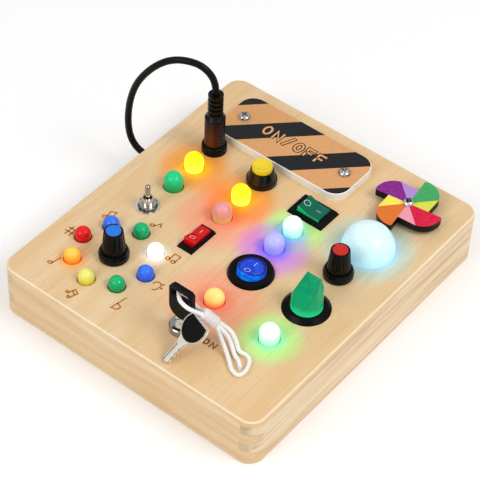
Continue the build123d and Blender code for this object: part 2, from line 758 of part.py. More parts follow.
def rocker_half(blank, length):
    """One half, from the valley to its end, rounded around its face."""
    middle = ROCK_FACE / math.cos(math.radians(ROCK_ANGLE))
    end = middle + length / 2 * math.tan(math.radians(ROCK_ANGLE))
    side = Polyline((0, 0, -ROCK_KEEL), (0, length / 2, -ROCK_KEEL), (0, length / 2, end), (0, 0, middle),
                    close=True)
    half = blank & extrude(make_face(side), length, both=True)
    return fillet([edge for edge in half.edges() if is_rim(edge)], ROCK_EDGE)


def is_rim(edge):
    """An edge around the face of a rocker's half, but not the valley."""
    ends = [edge.position_at(0), edge.position_at(1)]
    return min(end.Z for end in ends) > ROCK_FACE - SLIP and max(end.Y for end in ends) > SLIP


def rocker(blank, length, width):
    half = rocker_half(blank, length)
    pin = Rot(0, 90, 0) * Cylinder(ROCK_PIN_D / 2, width + 2 * (ROCK_GAP + ROCK_PIN_L))
    return Rot(-ROCK_ANGLE, 0, 0) * (half + mirror(half, about=Plane.XZ) + pin)


def rocker_reach(length):
    """How far a rocker's lower corners swing out from its pivot."""
    return math.hypot(length / 2, ROCK_KEEL)


def pin_bore(width):
    reach = ROCK_PIN_L + FIT
    return Rot(0, 90, 0) * Cylinder(ROCK_PIN_D / 2 + SLIP, width + 2 * (ROCK_GAP + reach))


def terminals(spread):
    low = -SWITCH_DEPTH - TERMINAL_L
    return [block(0, side * spread, low, -SWITCH_DEPTH, TERMINAL_W, TERMINAL_T) for side in (-1, 1)]


def square_switch(name, place, bezel, body, rock):
    width, length = rock
    shell = extrude(Rectangle(*bezel), BEZEL_H, taper=math.degrees(math.atan(BEZEL_SLOPE / BEZEL_H)))
    shell += block(0, 0, -SWITCH_DEPTH, 0, *body)
    well = rocker_reach(length) + ROCK_GAP
    shell -= block(0, 0, -well, BEZEL_H + MARGIN, width + 2 * ROCK_GAP, 2 * well)
    shell -= pin_bore(width)
    shell += terminals(length / 4)
    save(f"{name}_switch_housing", place * shell)
    save(f"{name}_rocker", place * rocker(Box(width, length, 2 * length), length, width))


def round_switch(name, place):
    shell = cone(0, 0, 0, BEZEL_H, BLUE_D, BLUE_D - 2 * BEZEL_SLOPE)
    shell += disc(0, 0, -SWITCH_DEPTH, 0, BLUE_BODY_D)
    well = rocker_reach(BLUE_ROCK_D) + ROCK_GAP
    shell -= disc(0, 0, -well, BEZEL_H + MARGIN, 2 * well)
    shell -= pin_bore(BLUE_ROCK_D)
    shell += terminals(BLUE_ROCK_D / 4)
    save(f"{name}_switch_housing", place * shell)
    blank = Cylinder(BLUE_ROCK_D / 2, 2 * BLUE_ROCK_D)
    save(f"{name}_rocker", place * rocker(blank, BLUE_ROCK_D, BLUE_ROCK_D))


def make_rocker_switches():
    square_switch("red", Pos(RED_X, RED_Y, TOP), (RED_W, RED_L), (RED_BODY_W, RED_BODY_L),
                  (RED_ROCK_W, RED_ROCK_L))
    square_switch("green", Pos(GREEN_X, GREEN_Y, TOP) * Rot(0, 0, -90), (GREEN_W, GREEN_L),
                  (GREEN_BODY_W, GREEN_BODY_L), (GREEN_ROCK_W, GREEN_ROCK_L))
    round_switch("blue", Pos(BLUE_X, BLUE_Y, TOP))


# ---- Selector ----

def make_selector():
    base = cone(0, 0, 0, SELECT_BASE_H, SELECT_BASE_D, SELECT_BASE_TOP_D)
    base += disc(0, 0, -PANEL_T - SELECT_NECK_L, 0, SELECT_NECK_D)
    base += block(0, 0, -PANEL_T - SELECT_NECK_L - SELECT_BODY_H, -PANEL_T - SELECT_NECK_L,
                  SELECT_BODY, SELECT_BODY)
    seat = SELECT_BASE_H - SELECT_SEAT
    base -= disc(0, 0, seat, SELECT_BASE_H + MARGIN, HANDLE_D + 2 * ROCK_GAP)
    base -= disc(0, 0, -SELECT_STEM_L - FIT, seat + MARGIN, SELECT_STEM_D + 2 * SLIP)
    foot = seat + HANDLE_GAP
    shoulder = foot + HANDLE_FOOT
    handle = cone(0, 0, foot, HANDLE_H + MARGIN, HANDLE_D, HANDLE_TOP_D)
    wide = HANDLE_D
    half_ridge = HANDLE_RIDGE_T / 2
    gable = Polyline((0, -wide, foot), (0, wide, foot), (0, HANDLE_D / 2, shoulder),
                     (0, half_ridge, HANDLE_H), (0, -half_ridge, HANDLE_H), (0, -HANDLE_D / 2, shoulder),
                     close=True)
    fin = Polyline((-wide, 0, foot), (wide, 0, foot), (HANDLE_D / 2, 0, shoulder),
                   (HANDLE_RIDGE_FRONT, 0, HANDLE_H), (HANDLE_RIDGE_BACK, 0, HANDLE_H),
                   (HANDLE_BULGE_BACK, 0, HANDLE_BULGE_H), (-HANDLE_D / 2, 0, shoulder), close=True)
    handle = handle & extrude(make_face(gable), wide, both=True)
    handle = handle & extrude(make_face(fin), wide, both=True)
    handle = fillet(handle.edges().filter_by(lambda edge: edge.position_at(0.5).Z > shoulder), HANDLE_EDGE)
    handle += disc(0, 0, -SELECT_STEM_L, foot, SELECT_STEM_D)
    place = Pos(SELECT_X, SELECT_Y, TOP)
    save("selector_base", place * base)
    save("selector_handle", place * handle)


# ---- Pinwheel ----

def polar(radius, degrees):
    angle = math.radians(degrees)
    return radius * math.cos(angle), radius * math.sin(angle)


def blade_face(index):
    """A blade: straight leading edge, curved back, straight run to the notch at the next blade."""
    tip = SPIN_TIP_ANGLE + index * 360 / SPIN_BLADES
    point = polar(SPIN_TIP_R, tip)
    middle = polar(SPIN_MIDDLE * SPIN_TIP_R, tip - SPIN_MIDDLE_TURN)
    back = polar(SPIN_BACK * SPIN_TIP_R, tip - SPIN_BACK_TURN)
    notch = polar(SPIN_NOTCH * SPIN_TIP_R, tip - 360 / SPIN_BLADES)
    edge = Line((0, 0), point) + ThreePointArc(point, middle, back) + Line(back, notch) + Line(notch, (0, 0))
    return make_face(edge)


def make_pinwheel():
    face = Sketch() + [blade_face(index) for index in range(SPIN_BLADES)]
    tips = face.vertices().filter_by(lambda v: abs(Vector(v.X, v.Y).length - SPIN_TIP_R) < SLIP)
    face = fillet(tips, SPIN_TIP_ROUND) - Circle(SPIN_BORE_D / 2)
    low = SPIN_TOP - SPIN_T
    wheel = Pos(SPIN_X, SPIN_Y, TOP + low) * extrude(face, SPIN_T)
    spacer = disc(SPIN_X, SPIN_Y, TOP, TOP + low - SPIN_PLAY, SPIN_SPACER_D)
    screw = disc(SPIN_X, SPIN_Y, UNDER - SPIN_THREAD_L, TOP + SPIN_TOP + SPIN_PLAY, SPIN_SCREW_D)
    screw += pan_head(SPIN_X, SPIN_Y, TOP + SPIN_TOP + SPIN_PLAY, SPIN_HEAD_D, SPIN_HEAD_H)
    save("pinwheel", wheel)
    save("pinwheel_screw", screw, spacer - disc(SPIN_X, SPIN_Y, UNDER, TOP + SPIN_TOP, SPIN_SCREW_D))


# ---- Power socket and plug ----

def make_socket():
    face = TOP + SOCKET_HEAD_H
    socket = disc(SOCKET_X, SOCKET_Y, TOP, face, SOCKET_HEAD_D)
    socket = fillet(socket.edges().group_by(Axis.Z)[-1], SOCKET_ROUND)
    socket += disc(SOCKET_X, SOCKET_Y, UNDER - SOCKET_NECK_L, TOP, SOCKET_NECK_D)
    socket -= disc(SOCKET_X, SOCKET_Y, face - SOCKET_BORE_L, face + MARGIN, BARREL_D + 2 * SLIP)
    socket += disc(SOCKET_X, SOCKET_Y, face - SOCKET_BORE_L - MARGIN, face - MARGIN, SOCKET_PIN_D)
    save("power_socket", socket)


def make_plug():
    low = TOP + SOCKET_HEAD_H + PLUG_GAP
    shoulder = low + PLUG_BODY_L
    neck = shoulder + PLUG_SHOULDER
    crown = neck + RELIEF_L
    radius = PLUG_D / 2
    side = [(0, 0), (radius, 0)]
    rib_pitch = PLUG_BODY_L / (PLUG_RIBS + 1)
    for rib in range(1, PLUG_RIBS + 1):
        middle = rib * rib_pitch
        side += [(radius, middle - PLUG_RIB), (radius - PLUG_RIB, middle), (radius, middle + PLUG_RIB)]
    top = PLUG_BODY_L + PLUG_SHOULDER
    side += [(radius, PLUG_BODY_L), (RELIEF_D / 2, top), (0, top)]
    body = turned(SOCKET_X, SOCKET_Y, low, side)
    body += disc(SOCKET_X, SOCKET_Y, neck, crown, RELIEF_D)
    pitch = RELIEF_L / (RELIEF_GROOVES + 0.5)
    for index in range(RELIEF_GROOVES):
        groove_low = neck + (index + 0.5) * pitch
        ring = disc(SOCKET_X, SOCKET_Y, groove_low, groove_low + RELIEF_GROOVE, RELIEF_D + MARGIN)
        body -= ring - disc(SOCKET_X, SOCKET_Y, TOP, crown, RELIEF_D - 2 * RELIEF_GROOVE)
    body -= disc(SOCKET_X, SOCKET_Y, low - MARGIN, low + BARREL_SUNK, BARREL_D)
    barrel = disc(SOCKET_X, SOCKET_Y, low - BARREL_L, low + BARREL_SUNK, BARREL_D)
    barrel -= disc(SOCKET_X, SOCKET_Y, low - BARREL_L - MARGIN, low, BARREL_BORE_D)
    save("plug_body", body)
    save("plug_barrel", barrel)
    save("power_cord", tube("power_cord", CORD_ROUTE, CORD_D))


def make_grommet():
    """Bushing pushed into the left wall from outside; the cord ends at its face."""
    wall_x = -BOX_W / 2
    flange = Cylinder(GROMMET_D / 2, GROMMET_FLANGE_T)
    ring = Pos(wall_x - GROMMET_FLANGE_T / 2, 0, 0) * Rot(0, 90, 0) * flange
    ring = fillet(ring.edges().group_by(Axis.X)[0], GROMMET_ROUND)
    ring += Pos(wall_x + WALL_T / 2, 0, 0) * Rot(0, 90, 0) * Cylinder(GROMMET_NECK_D / 2, WALL_T)
    save("cord_grommet", Pos(0, GROMMET_Y, GROMMET_Z) * ring)


# ---- Key switch and keys ----

def make_lock():
    lock = disc(LOCK_X, LOCK_Y, TOP, TOP + LOCK_H, LOCK_D)
    lock = chamfer(lock.edges().group_by(Axis.Z)[-1], LOCK_CHAMFER)
    lock += disc(LOCK_X, LOCK_Y, UNDER - LOCK_NECK_L, TOP, LOCK_NECK_D)
    core_top = TOP + LOCK_H - CORE_SUNK
    lock -= disc(LOCK_X, LOCK_Y, core_top - CORE_L - FIT, TOP + LOCK_H + MARGIN, CORE_D + 2 * SLIP)
    core = disc(LOCK_X, LOCK_Y, core_top - CORE_L, core_top, CORE_D)
    blade_low = TOP + LOCK_H - KEY_BLADE_REACH
    core -= block(LOCK_X, LOCK_Y, blade_low - FIT, core_top + MARGIN, KEY_BLADE_W + 2 * FIT,
                  KEY_BLADE_T + 2 * FIT)
    save("key_lock", lock)
    save("lock_core", core)


def make_key():
    blade_low = TOP + LOCK_H - KEY_BLADE_REACH
    blade_top = TOP + KEY_FOOT_H + KEY_BLADE_IN_HEAD
    blade = block(LOCK_X, LOCK_Y, blade_low, blade_top, KEY_BLADE_W, KEY_BLADE_T)
    round_h = KEY_FOOT_H + KEY_W / 2
    top_corner = KEY_W / 2 - KEY_CHAMFER
    shape = Pos(0, round_h) * Circle(KEY_W / 2)
    shape += Polygon((-KEY_W / 2, round_h), (KEY_W / 2, round_h), (KEY_W / 2, KEY_TOP_H - KEY_CHAMFER),
                     (top_corner, KEY_TOP_H), (-top_corner, KEY_TOP_H),
                     (-KEY_W / 2, KEY_TOP_H - KEY_CHAMFER), align=None)
    slot_h = KEY_SLOT_HIGH - KEY_SLOT_LOW
    shape -= Pos(0, KEY_SLOT_LOW + slot_h / 2) * RectangleRounded(KEY_SLOT_W, slot_h, KEY_SLOT_R)
    head = extrude(Plane.XZ * shape, KEY_T / 2, both=True)
    rims = head.edges().filter_by(Axis.Y, reverse=True)
    head = chamfer(rims, KEY_EDGE)
    head = Pos(LOCK_X, LOCK_Y, TOP) * head
    save("key_blade", blade)
    save("key_head", head - blade)


def spare_plane():
    """Plane of the leaning key: X across it, Y from tip to head, Z out of its upper face."""
    head = Vector(*SPARE_HEAD)
    along = (head - Vector(*SPARE_TIP)).normalized()
    across = Vector(along.Y, -along.X, 0).normalized()
    origin = head + Vector(LOCK_X, LOCK_Y, TOP)
    return Plane(origin=origin, x_dir=across, z_dir=across.cross(along))


def make_spare_key():
    length = (Vector(*SPARE_HEAD) - Vector(*SPARE_TIP)).length
    bow = Circle(SPARE_D / 2) & Pos(0, SPARE_FLAT - SPARE_D) * Rectangle(2 * SPARE_D, 2 * SPARE_D)
    insert = Circle(SPARE_D / 2 - SPARE_INSET)
    insert &= Pos(0, SPARE_FLAT - SPARE_INSET - SPARE_D) * Rectangle(2 * SPARE_D, 2 * SPARE_D)
    neck = -math.sqrt((SPARE_D / 2)**2 - (SPARE_NECK_W / 2)**2)
    half = SPARE_BLADE_W / 2
    point = SPARE_BLADE_W / 4
    blade = Polygon((-SPARE_NECK_W / 2, neck), (-half, neck - SPARE_NECK_L), (-half, point - length),
                    (-point, -length), (point, -length), (half, point - length),
                    (half, neck - SPARE_NECK_L), (SPARE_NECK_W / 2, neck), align=None)
    cut_run = length + neck - SPARE_NECK_L - 2 * point
    pitch = cut_run / SPARE_CUTS
    for index in range(SPARE_CUTS):
        spot = -length + 2 * point + (index + 0.5) * pitch
        blade -= Pos(half, spot) * Rot(0, 0, 45) * Rectangle(SPARE_CUT, SPARE_CUT)
    metal = extrude((bow + blade) - insert, SPARE_T / 2, both=True)
    groove = Pos(-half / 2, neck - SPARE_NECK_L, SPARE_T / 2) * Box(
        SPARE_GROOVE, 2 * (length + neck), SPARE_GROOVE, align=(Align.CENTER, Align.MAX, Align.CENTER))
    grip = extrude(insert, SPARE_INSERT_T / 2, both=True)
    grip = fillet(grip.edges().filter_by(Axis.Z, reverse=True), SPARE_GROOVE)
    place = spare_plane().location
    save("spare_key_blade", place * (metal - groove))
    save("spare_key_head", place * grip)


def at_lock(route):
    return [(LOCK_X + x, LOCK_Y + y, TOP + z) for x, y, z in route]


def make_lanyard():
    start, end = [Vector(*point) for point in at_lock([BEAD_IN, BEAD_OUT])]
    axis = end - start
    bead = extrude(Plane(origin=start, z_dir=axis) * Circle(BEAD_D / 2), axis.length)
    bead = fillet(bead.edges().filter_by(GeomType.CIRCLE), BEAD_ROUND)
    loop = tube("lanyard_loop", at_lock(LOOP_ROUTE), LANYARD_D)
    tail = tube("lanyard_tail", at_lock(TAIL_ROUTE), LANYARD_D)
    save("lanyard_bead", bead)
    save("lanyard_ring", tube("lanyard_ring", at_lock(RING_ROUTE), LANYARD_D))
    save("lanyard_loop", loop, tail)


# ---- Nuts and the drilled board ----

def make_nuts():
    nuts = []
    for x, y in ((RING_X, RING_Y), (DIMMER_X, DIMMER_Y)):
        nuts.append(hex_nut(x, y, TOP, NUT_T, NUT_FLATS, BUSH_D + 2 * FIT))
    washer_top = TOP + TOGGLE_WASHER_T
    washer = disc(TOGGLE_X, TOGGLE_Y, TOP, washer_top, TOGGLE_WASHER_D)
    nuts.append(washer - disc(TOGGLE_X, TOGGLE_Y, UNDER, washer_top + MARGIN, TOGGLE_BUSH_D + 2 * FIT))
    nuts.append(hex_nut(TOGGLE_X, TOGGLE_Y, washer_top, TOGGLE_NUT_T, TOGGLE_NUT_FLATS,
                        TOGGLE_BUSH_D + 2 * FIT))
    under = [(BUTTON_X, BUTTON_Y, BUTTON_NUT_T, BUTTON_NUT_FLATS, BUTTON_NECK_D),
             (SELECT_X, SELECT_Y, SELECT_NUT_T, SELECT_NUT_FLATS, SELECT_NECK_D),
             (SOCKET_X, SOCKET_Y, SOCKET_NUT_T, SOCKET_NUT_FLATS, SOCKET_NECK_D),
             (LOCK_X, LOCK_Y, LOCK_NUT_T, LOCK_NUT_FLATS, LOCK_NECK_D),
             (SPIN_X, SPIN_Y, SPIN_NUT_T, SPIN_NUT_FLATS, SPIN_SCREW_D)]
    for x, y, thick, flats, bore in under:
        nuts.append(hex_nut(x, y, UNDER - thick, thick, flats, bore + 2 * FIT))
    save("panel_nuts", *nuts)


def make_top_panel():
    panel = Pos(0, 0, UNDER) * extrude(outline(), PANEL_T)
    panel = fillet(panel.edges().group_by(Axis.Z)[-1], EDGE_R)
    lamps = YELLOW_LAMPS + GREEN_LAMPS + PINK_LAMPS + WHITE_LAMPS + VIOLET_LAMPS + ORANGE_LAMPS
    round_holes = [(x, y, LAMP_HOLE_D) for x, y in lamps]
    round_holes += [(x, y, SMALL_LAMP_HOLE_D) for colour, x, y in ring_spots()]
    round_holes += [(DOME_X, DOME_Y, SMALL_LAMP_HOLE_D)]
    fitted = [(RING_X, RING_Y, BUSH_D), (DIMMER_X, DIMMER_Y, BUSH_D), (TOGGLE_X, TOGGLE_Y, TOGGLE_BUSH_D),
              (BUTTON_X, BUTTON_Y, BUTTON_NECK_D), (BLUE_X, BLUE_Y, BLUE_BODY_D),
              (SELECT_X, SELECT_Y, SELECT_NECK_D), (SPIN_X, SPIN_Y, SPIN_SCREW_D),
              (SOCKET_X, SOCKET_Y, SOCKET_NECK_D), (LOCK_X, LOCK_Y, LOCK_NECK_D)]
    fitted += [(x, y, PLATE_SCREW_D) for x, y in plate_screw_spots()]
    round_holes += [(x, y, dia + 2 * FIT) for x, y, dia in fitted]
    cutters = [disc(x, y, UNDER - MARGIN, TOP + MARGIN, dia) for x, y, dia in round_holes]
    for x, y, width, depth in ((RED_X, RED_Y, RED_BODY_W, RED_BODY_L),
                               (GREEN_X, GREEN_Y, GREEN_BODY_L, GREEN_BODY_W)):
        cutters.append(block(x, y, UNDER - MARGIN, TOP + MARGIN, width + 2 * FIT, depth + 2 * FIT))
    save("top_panel", panel - cutters)


os.makedirs("parts", exist_ok=True)
make_top_panel()
make_walls()
make_base()
make_battery_tray()
make_circuit_board()
make_label_plate()
make_screws()
make_lamps()
make_dome()
make_knob("music_knob", RING_X, RING_Y, MUSIC_POINTER)
make_knob("dimmer_knob", DIMMER_X, DIMMER_Y, DIMMER_POINTER)
make_rotary("music_switch", RING_X, RING_Y, 5)
make_rotary("dimmer_pot", DIMMER_X, DIMMER_Y, 3)
make_toggle()
make_button()
make_rocker_switches()
make_selector()
make_pinwheel()
make_socket()
make_plug()
make_grommet()
make_lock()
make_key()
make_spare_key()
make_lanyard()
make_nuts()
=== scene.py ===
import math

import bpy
from mathutils import Matrix, Vector


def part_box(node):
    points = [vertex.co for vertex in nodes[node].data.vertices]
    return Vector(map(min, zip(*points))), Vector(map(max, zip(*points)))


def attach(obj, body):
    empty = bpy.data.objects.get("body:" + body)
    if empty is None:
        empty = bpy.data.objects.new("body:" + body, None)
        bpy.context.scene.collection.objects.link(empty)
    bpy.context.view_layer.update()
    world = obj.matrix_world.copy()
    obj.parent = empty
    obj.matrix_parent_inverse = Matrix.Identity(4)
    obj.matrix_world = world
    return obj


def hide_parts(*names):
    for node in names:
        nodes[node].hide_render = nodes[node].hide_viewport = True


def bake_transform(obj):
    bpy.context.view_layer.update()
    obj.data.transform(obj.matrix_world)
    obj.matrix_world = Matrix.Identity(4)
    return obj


# Wooden busy board. Metres, in the part's frame: +X along the front edge, +Y to the back, +Z up.
# Lengths below are written in millimetres and turned to metres by mm().

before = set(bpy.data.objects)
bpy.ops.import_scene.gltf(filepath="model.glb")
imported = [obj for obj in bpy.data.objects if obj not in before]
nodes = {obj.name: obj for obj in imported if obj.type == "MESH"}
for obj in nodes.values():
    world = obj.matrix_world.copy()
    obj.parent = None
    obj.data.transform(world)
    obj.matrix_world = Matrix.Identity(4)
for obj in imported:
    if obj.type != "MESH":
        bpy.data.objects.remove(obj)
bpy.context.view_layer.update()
scene = bpy.context.scene

TOP = 29.5            # top of the board
PROUD = 0.03          # how far printed and burnt marks stand over their surface


def mm(*lengths):
    return tuple(length / 1000 for length in lengths)


def srgb(red, green, blue):
    """A colour given by its eye-level 0-255 values, as linear RGBA."""
    linear = []
    for value in (red, green, blue):
        c = value / 255
        linear.append(c / 12.92 if c <= 0.04045 else ((c + 0.055) / 1.055) ** 2.4)
    return (*linear, 1.0)


def add(name, data):
    obj = bpy.data.objects.new(name, data)
    scene.collection.objects.link(obj)
    return obj


# ---- Camera ----
RIGHT = (0.78055, 0.62415, 0.03414)
UP = (-0.46602, 0.54466, 0.69728)
BACK = (0.41661, -0.56017, 0.71600)
CAMERA_AT = (0.38540, -0.52219, 0.69249)
LENS = 144.23         # focal length and sensor in millimetres
SENSOR = 36
camera_data = bpy.data.cameras.new("camera")
camera_data.lens = LENS
camera_data.sensor_width = SENSOR
camera = add("camera", camera_data)
camera.matrix_world = Matrix((
    (RIGHT[0], UP[0], BACK[0], CAMERA_AT[0]),
    (RIGHT[1], UP[1], BACK[1], CAMERA_AT[1]),
    (RIGHT[2], UP[2], BACK[2], CAMERA_AT[2]),
    (0, 0, 0, 1),
))
scene.camera = camera


# ---- Cords ----
def line_of(points):
    """The points that a smooth NURBS line through space follows."""
    data = bpy.data.curves.new("guide", "CURVE")
    data.dimensions = "3D"
    data.resolution_u = 12
    spline = data.splines.new("NURBS")
    spline.points.add(len(points) - 1)
    for point, place in zip(spline.points, points):
        point.co = (*mm(*place), 1)
    spline.order_u = 3
    spline.use_endpoint_u = True
    guide = add("guide", data)
    mesh = bpy.data.meshes.new_from_object(guide)
    places = [vertex.co.copy() for vertex in mesh.vertices]
    bpy.data.objects.remove(guide)
    return places


STRANDS = 4           # crossings of a braid around its cord


def tube(name, path, dia, sides=24):
    """A closed round mesh along path. Its weave attribute carries what a braid needs."""
    lengths = [0.0]
    for a, b in zip(path, path[1:]):
        lengths.append(lengths[-1] + (b - a).length)
    along = (path[1] - path[0]).normalized()
    side = along.orthogonal().normalized()
    verts = []
    faces = []
    weave = []
    for i, place in enumerate(path):
        ahead = (path[min(i + 1, len(path) - 1)] - path[max(i - 1, 0)]).normalized()
        side = (side - ahead * side.dot(ahead)).normalized()
        other = ahead.cross(side)
        for k in range(sides):
            turn = 2 * math.pi * k / sides
            verts.append(place + (side * math.cos(turn) + other * math.sin(turn)) * dia / 2000)
            weave.extend((math.cos(STRANDS * turn), lengths[i], 0.0))
    for i in range(len(path) - 1):
        for k in range(sides):
            n = (k + 1) % sides
            faces.append((i * sides + k, i * sides + n, (i + 1) * sides + n, (i + 1) * sides + k))
    faces.append(tuple(reversed(range(sides))))
    faces.append(tuple((len(path) - 1) * sides + k for k in range(sides)))
    mesh = bpy.data.meshes.new(name)
    mesh.from_pydata(verts, [], faces)
    mesh.polygons.foreach_set("use_smooth", [True] * (len(faces) - 2) + [False, False])
    mesh.attributes.new("weave", "FLOAT_VECTOR", "POINT").data.foreach_set("vector", weave)
    mesh.update()
    return add(name, mesh)


CORD_D = 3.6
CORD_ROUTE = [
    (-50.3, 38.1, 66.5),
    (-50.6, 38.0, 73.1),
    (-53.9, 36.8, 79.4),
    (-60.0, 34.6, 83.3),
    (-71.0, 30.5, 82.4),
    (-80.7, 27.0, 74.7),
    (-89.1, 24.0, 62.0),
    (-92.9, 22.7, 48.8),
    (-94.1, 22.2, 35.4),
    (-93.3, 22.5, 24.8),
    (-90.2, 23.0, 18.6),
    (-85.0, 23.9, 15.1),
    (-78.2, 23.9, 15.1),
]
cord_line = line_of(list(reversed(CORD_ROUTE)))
cord = tube("lead", cord_line, CORD_D)
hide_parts("power_cord")
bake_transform(cord)

LOCK = (14.7, -65.4, TOP)
LANYARD_D = 2.0
RING_ROUTE = [
    (12.0, 0.9, 17.3),
    (8.1, -3.8, 21.5),
    (4.4, -4.2, 22.6),
    (1.0, -3.4, 23.2),
    (-2.6, 0.6, 22.8),
    (-5.6, 4.6, 20.2),
    (-6.3, 6.9, 16.2),
    (-4.2, 8.2, 12.6),
    (0.3, 7.9, 10.7),
    (4.8, 6.3, 11.0),
    (8.4, 4.9, 13.6),
    (11.4, 2.6, 17.1),
]
LOOP_ROUTE = [
    (15.7, 5.8, 11.8),
    (18.6, 7.7, 9.2),
    (22.8, 8.7, 6.7),
    (26.6, 7.2, 3.9),
    (29.8, 4.9, 1.6),
    (33.4, 6.3, 1.05),
    (37.0, 4.3, 1.05),
    (39.3, -1.6, 1.05),
    (38.5, -6.4, 1.05),
    (33.5, -5.4, 1.05),
    (29.3, -1.6, 1.05),
    (24.8, 1.4, 2.6),
    (20.6, 2.9, 6.2),
    (16.4, 4.2, 11.2),
]
TAIL_ROUTE = [
    (15.5, 4.9, 10.8),
    (18.9, 5.9, 8.1),
    (22.7, 6.1, 5.6),
    (26.2, 4.4, 3.0),
    (29.6, 2.2, 1.05),
    (33.0, 1.0, 1.05),
    (36.0, -2.0, 1.05),
]


def from_lock(points):
    return [tuple(a + b for a, b in zip(point, LOCK)) for point in points]


ring_line = line_of(from_lock(RING_ROUTE))
loop_line = line_of(from_lock(LOOP_ROUTE))
ring = tube("lanyard_loop_through_key", ring_line, LANYARD_D)
hand_loop = tube("lanyard_hand_loop", loop_line, LANYARD_D)
tail = tube("lanyard_tail", line_of(from_lock(TAIL_ROUTE)), LANYARD_D)
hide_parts("lanyard_ring")
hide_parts("lanyard_loop")
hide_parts("lanyard_loop")
for piece in (ring, hand_loop, tail):
    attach(piece, "box")


# ---- Materials ----
GLOW_TURN = 0.4       # where a halo has its outer colour, as a share of its width
HALO_MOST = 4.0       # the strongest tint that a halo may give a channel


class Paint:
    """A material, its principled shader and short ways to add nodes to it."""

    def __init__(self, name, colour, roughness, **sockets):
        self.material = bpy.data.materials.new(name)
        self.material.use_nodes = True
        self.tree = self.material.node_tree
        self.shader = self.tree.nodes["Principled BSDF"]
        self.set("Base Color", colour)
        self.set("Roughness", roughness)
        for socket, value in sockets.items():
            self.set(socket.replace("_", " "), value)
        self.place = self.node("ShaderNodeTexCoord").outputs["Object"]

    def set(self, socket, value):
        if isinstance(value, bpy.types.NodeSocket):
            self.tree.links.new(value, self.shader.inputs[socket])
        else:
            self.shader.inputs[socket].default_value = value

    def node(self, kind, inputs=(), **settings):
        made = self.tree.nodes.new(kind)
        for key, value in settings.items():
            setattr(made, key, value)
        for socket, value in inputs:
            if isinstance(value, bpy.types.NodeSocket):
                self.tree.links.new(value, made.inputs[socket])
            else:
                made.inputs[socket].default_value = value
        return made

    def maths(self, operation, a, b=0.0):
        return self.node("ShaderNodeMath", [(0, a), (1, b)], operation=operation).outputs[0]

    def axes(self, vector=None):
        split = self.node("ShaderNodeSeparateXYZ", [(0, vector or self.place)])
        return split.outputs[0], split.outputs[1], split.outputs[2]

    def normal(self):
        return self.axes(self.node("ShaderNodeTexCoord").outputs["Normal"])

    def stretched(self, x, y, z):
        """The object's coordinates, stretched; larger numbers make finer detail along that axis."""
        return self.node("ShaderNodeMapping", [("Vector", self.place), ("Scale", (x, y, z))]).outputs[0]

    def noise(self, scale, detail=4.0, vector=None, distortion=0.0):
        made = self.node("ShaderNodeTexNoise", [
            ("Vector", vector or self.place), ("Scale", scale), ("Detail", detail),
            ("Distortion", distortion)])
        return made.outputs[0]

    def span(self, value, low, high, to_low=0.0, to_high=1.0):
        made = self.node("ShaderNodeMapRange", [
            (0, value), (1, low), (2, high), (3, to_low), (4, to_high)])
        return made.outputs[0]

    def mix(self, share, a, b, blend="MIX"):
        made = self.node("ShaderNodeMix", data_type="RGBA", blend_type=blend)
        for index, value in ((0, share), (6, a), (7, b)):
            if isinstance(value, bpy.types.NodeSocket):
                self.tree.links.new(value, made.inputs[index])
            else:
                made.inputs[index].default_value = value
        return made.outputs[2]

    def ramp(self, value, stops, interpolation="LINEAR"):
        made = self.node("ShaderNodeValToRGB", [(0, value)])
        made.color_ramp.interpolation = interpolation
        points = made.color_ramp.elements
        while len(points) < len(stops):
            points.new(0.5)
        for point, (position, colour) in zip(points, stops):
            point.position = position
            point.color = colour
        return made.outputs[0]

    def edges(self, width):
        """1 within width millimetres of an edge, 0 on the flats."""
        soft = self.node("ShaderNodeBevel", [("Radius", width / 1000)], samples=6).outputs[0]
        flat = self.node("ShaderNodeNewGeometry").outputs["True Normal"]
        along = self.node("ShaderNodeVectorMath", [(0, soft), (1, flat)], operation="DOT_PRODUCT")
        return self.span(along.outputs[1], 0.9995, 0.95)

    def away(self, place):
        """Distance in mm from the upright line through a place on the board."""
        flat = self.node("ShaderNodeVectorMath", [(0, self.place), (1, (1, 1, 0))], operation="MULTIPLY")
        centre = (*mm(*place), 0)
        gap = self.node("ShaderNodeVectorMath", [(0, flat.outputs[0]), (1, centre)], operation="DISTANCE")
        return self.maths("MULTIPLY", gap.outputs[1], 1000.0)

    def halo(self, body, place, glow, start, reach):
        """Paints lamp light and shade into body round a place on the board, from start to reach millimetres
        away.

        glow is the wood's colour close to the lamp and its colour further out.
        """
        near, outer = glow
        turn = start + GLOW_TURN * (reach - start)
        stops = []
        for distance, look in ((start, near), (turn, outer), (reach, WOOD)):
            tint = tuple(a / b / HALO_MOST for a, b in zip(look[:3], WOOD[:3]))
            stops.append((distance / reach, (*tint, 1.0)))
        tint = self.ramp(self.span(self.away(place), 0.0, reach), stops, "EASE")
        tint = self.node("ShaderNodeVectorMath", [(0, tint), ("Scale", HALO_MOST)], operation="SCALE")
        return self.mix(1.0, body, tint.outputs[0], "MULTIPLY")

    def bump(self, height, depth, strength=1.0):
        """depth is the height of the bumps in millimetres."""
        made = self.node("ShaderNodeBump", [
            ("Height", height), ("Distance", depth / 1000), ("Strength", strength)])
        self.set("Normal", made.outputs[0])
        return made


def dimmed(colour, share):
    return (colour[0] * share, colour[1] * share, colour[2] * share, 1.0)


def moulded(name, colour, roughness, grain=2600, depth=0.02, vary=0.12, **sockets):
    """Moulded plastic: slight mottling, fine pebble and uneven gloss."""
    paint = Paint(name, colour, roughness, **sockets)
    mottle = paint.noise(220, 3)
    paint.set("Base Color", paint.mix(mottle, dimmed(colour, 1 - vary), dimmed(colour, 1 + vary)))
    pebble = paint.noise(grain, 2)
    paint.set("Roughness", paint.span(pebble, 0.3, 0.7, roughness * 0.85, roughness * 1.2))
    paint.bump(pebble, depth)
    return paint


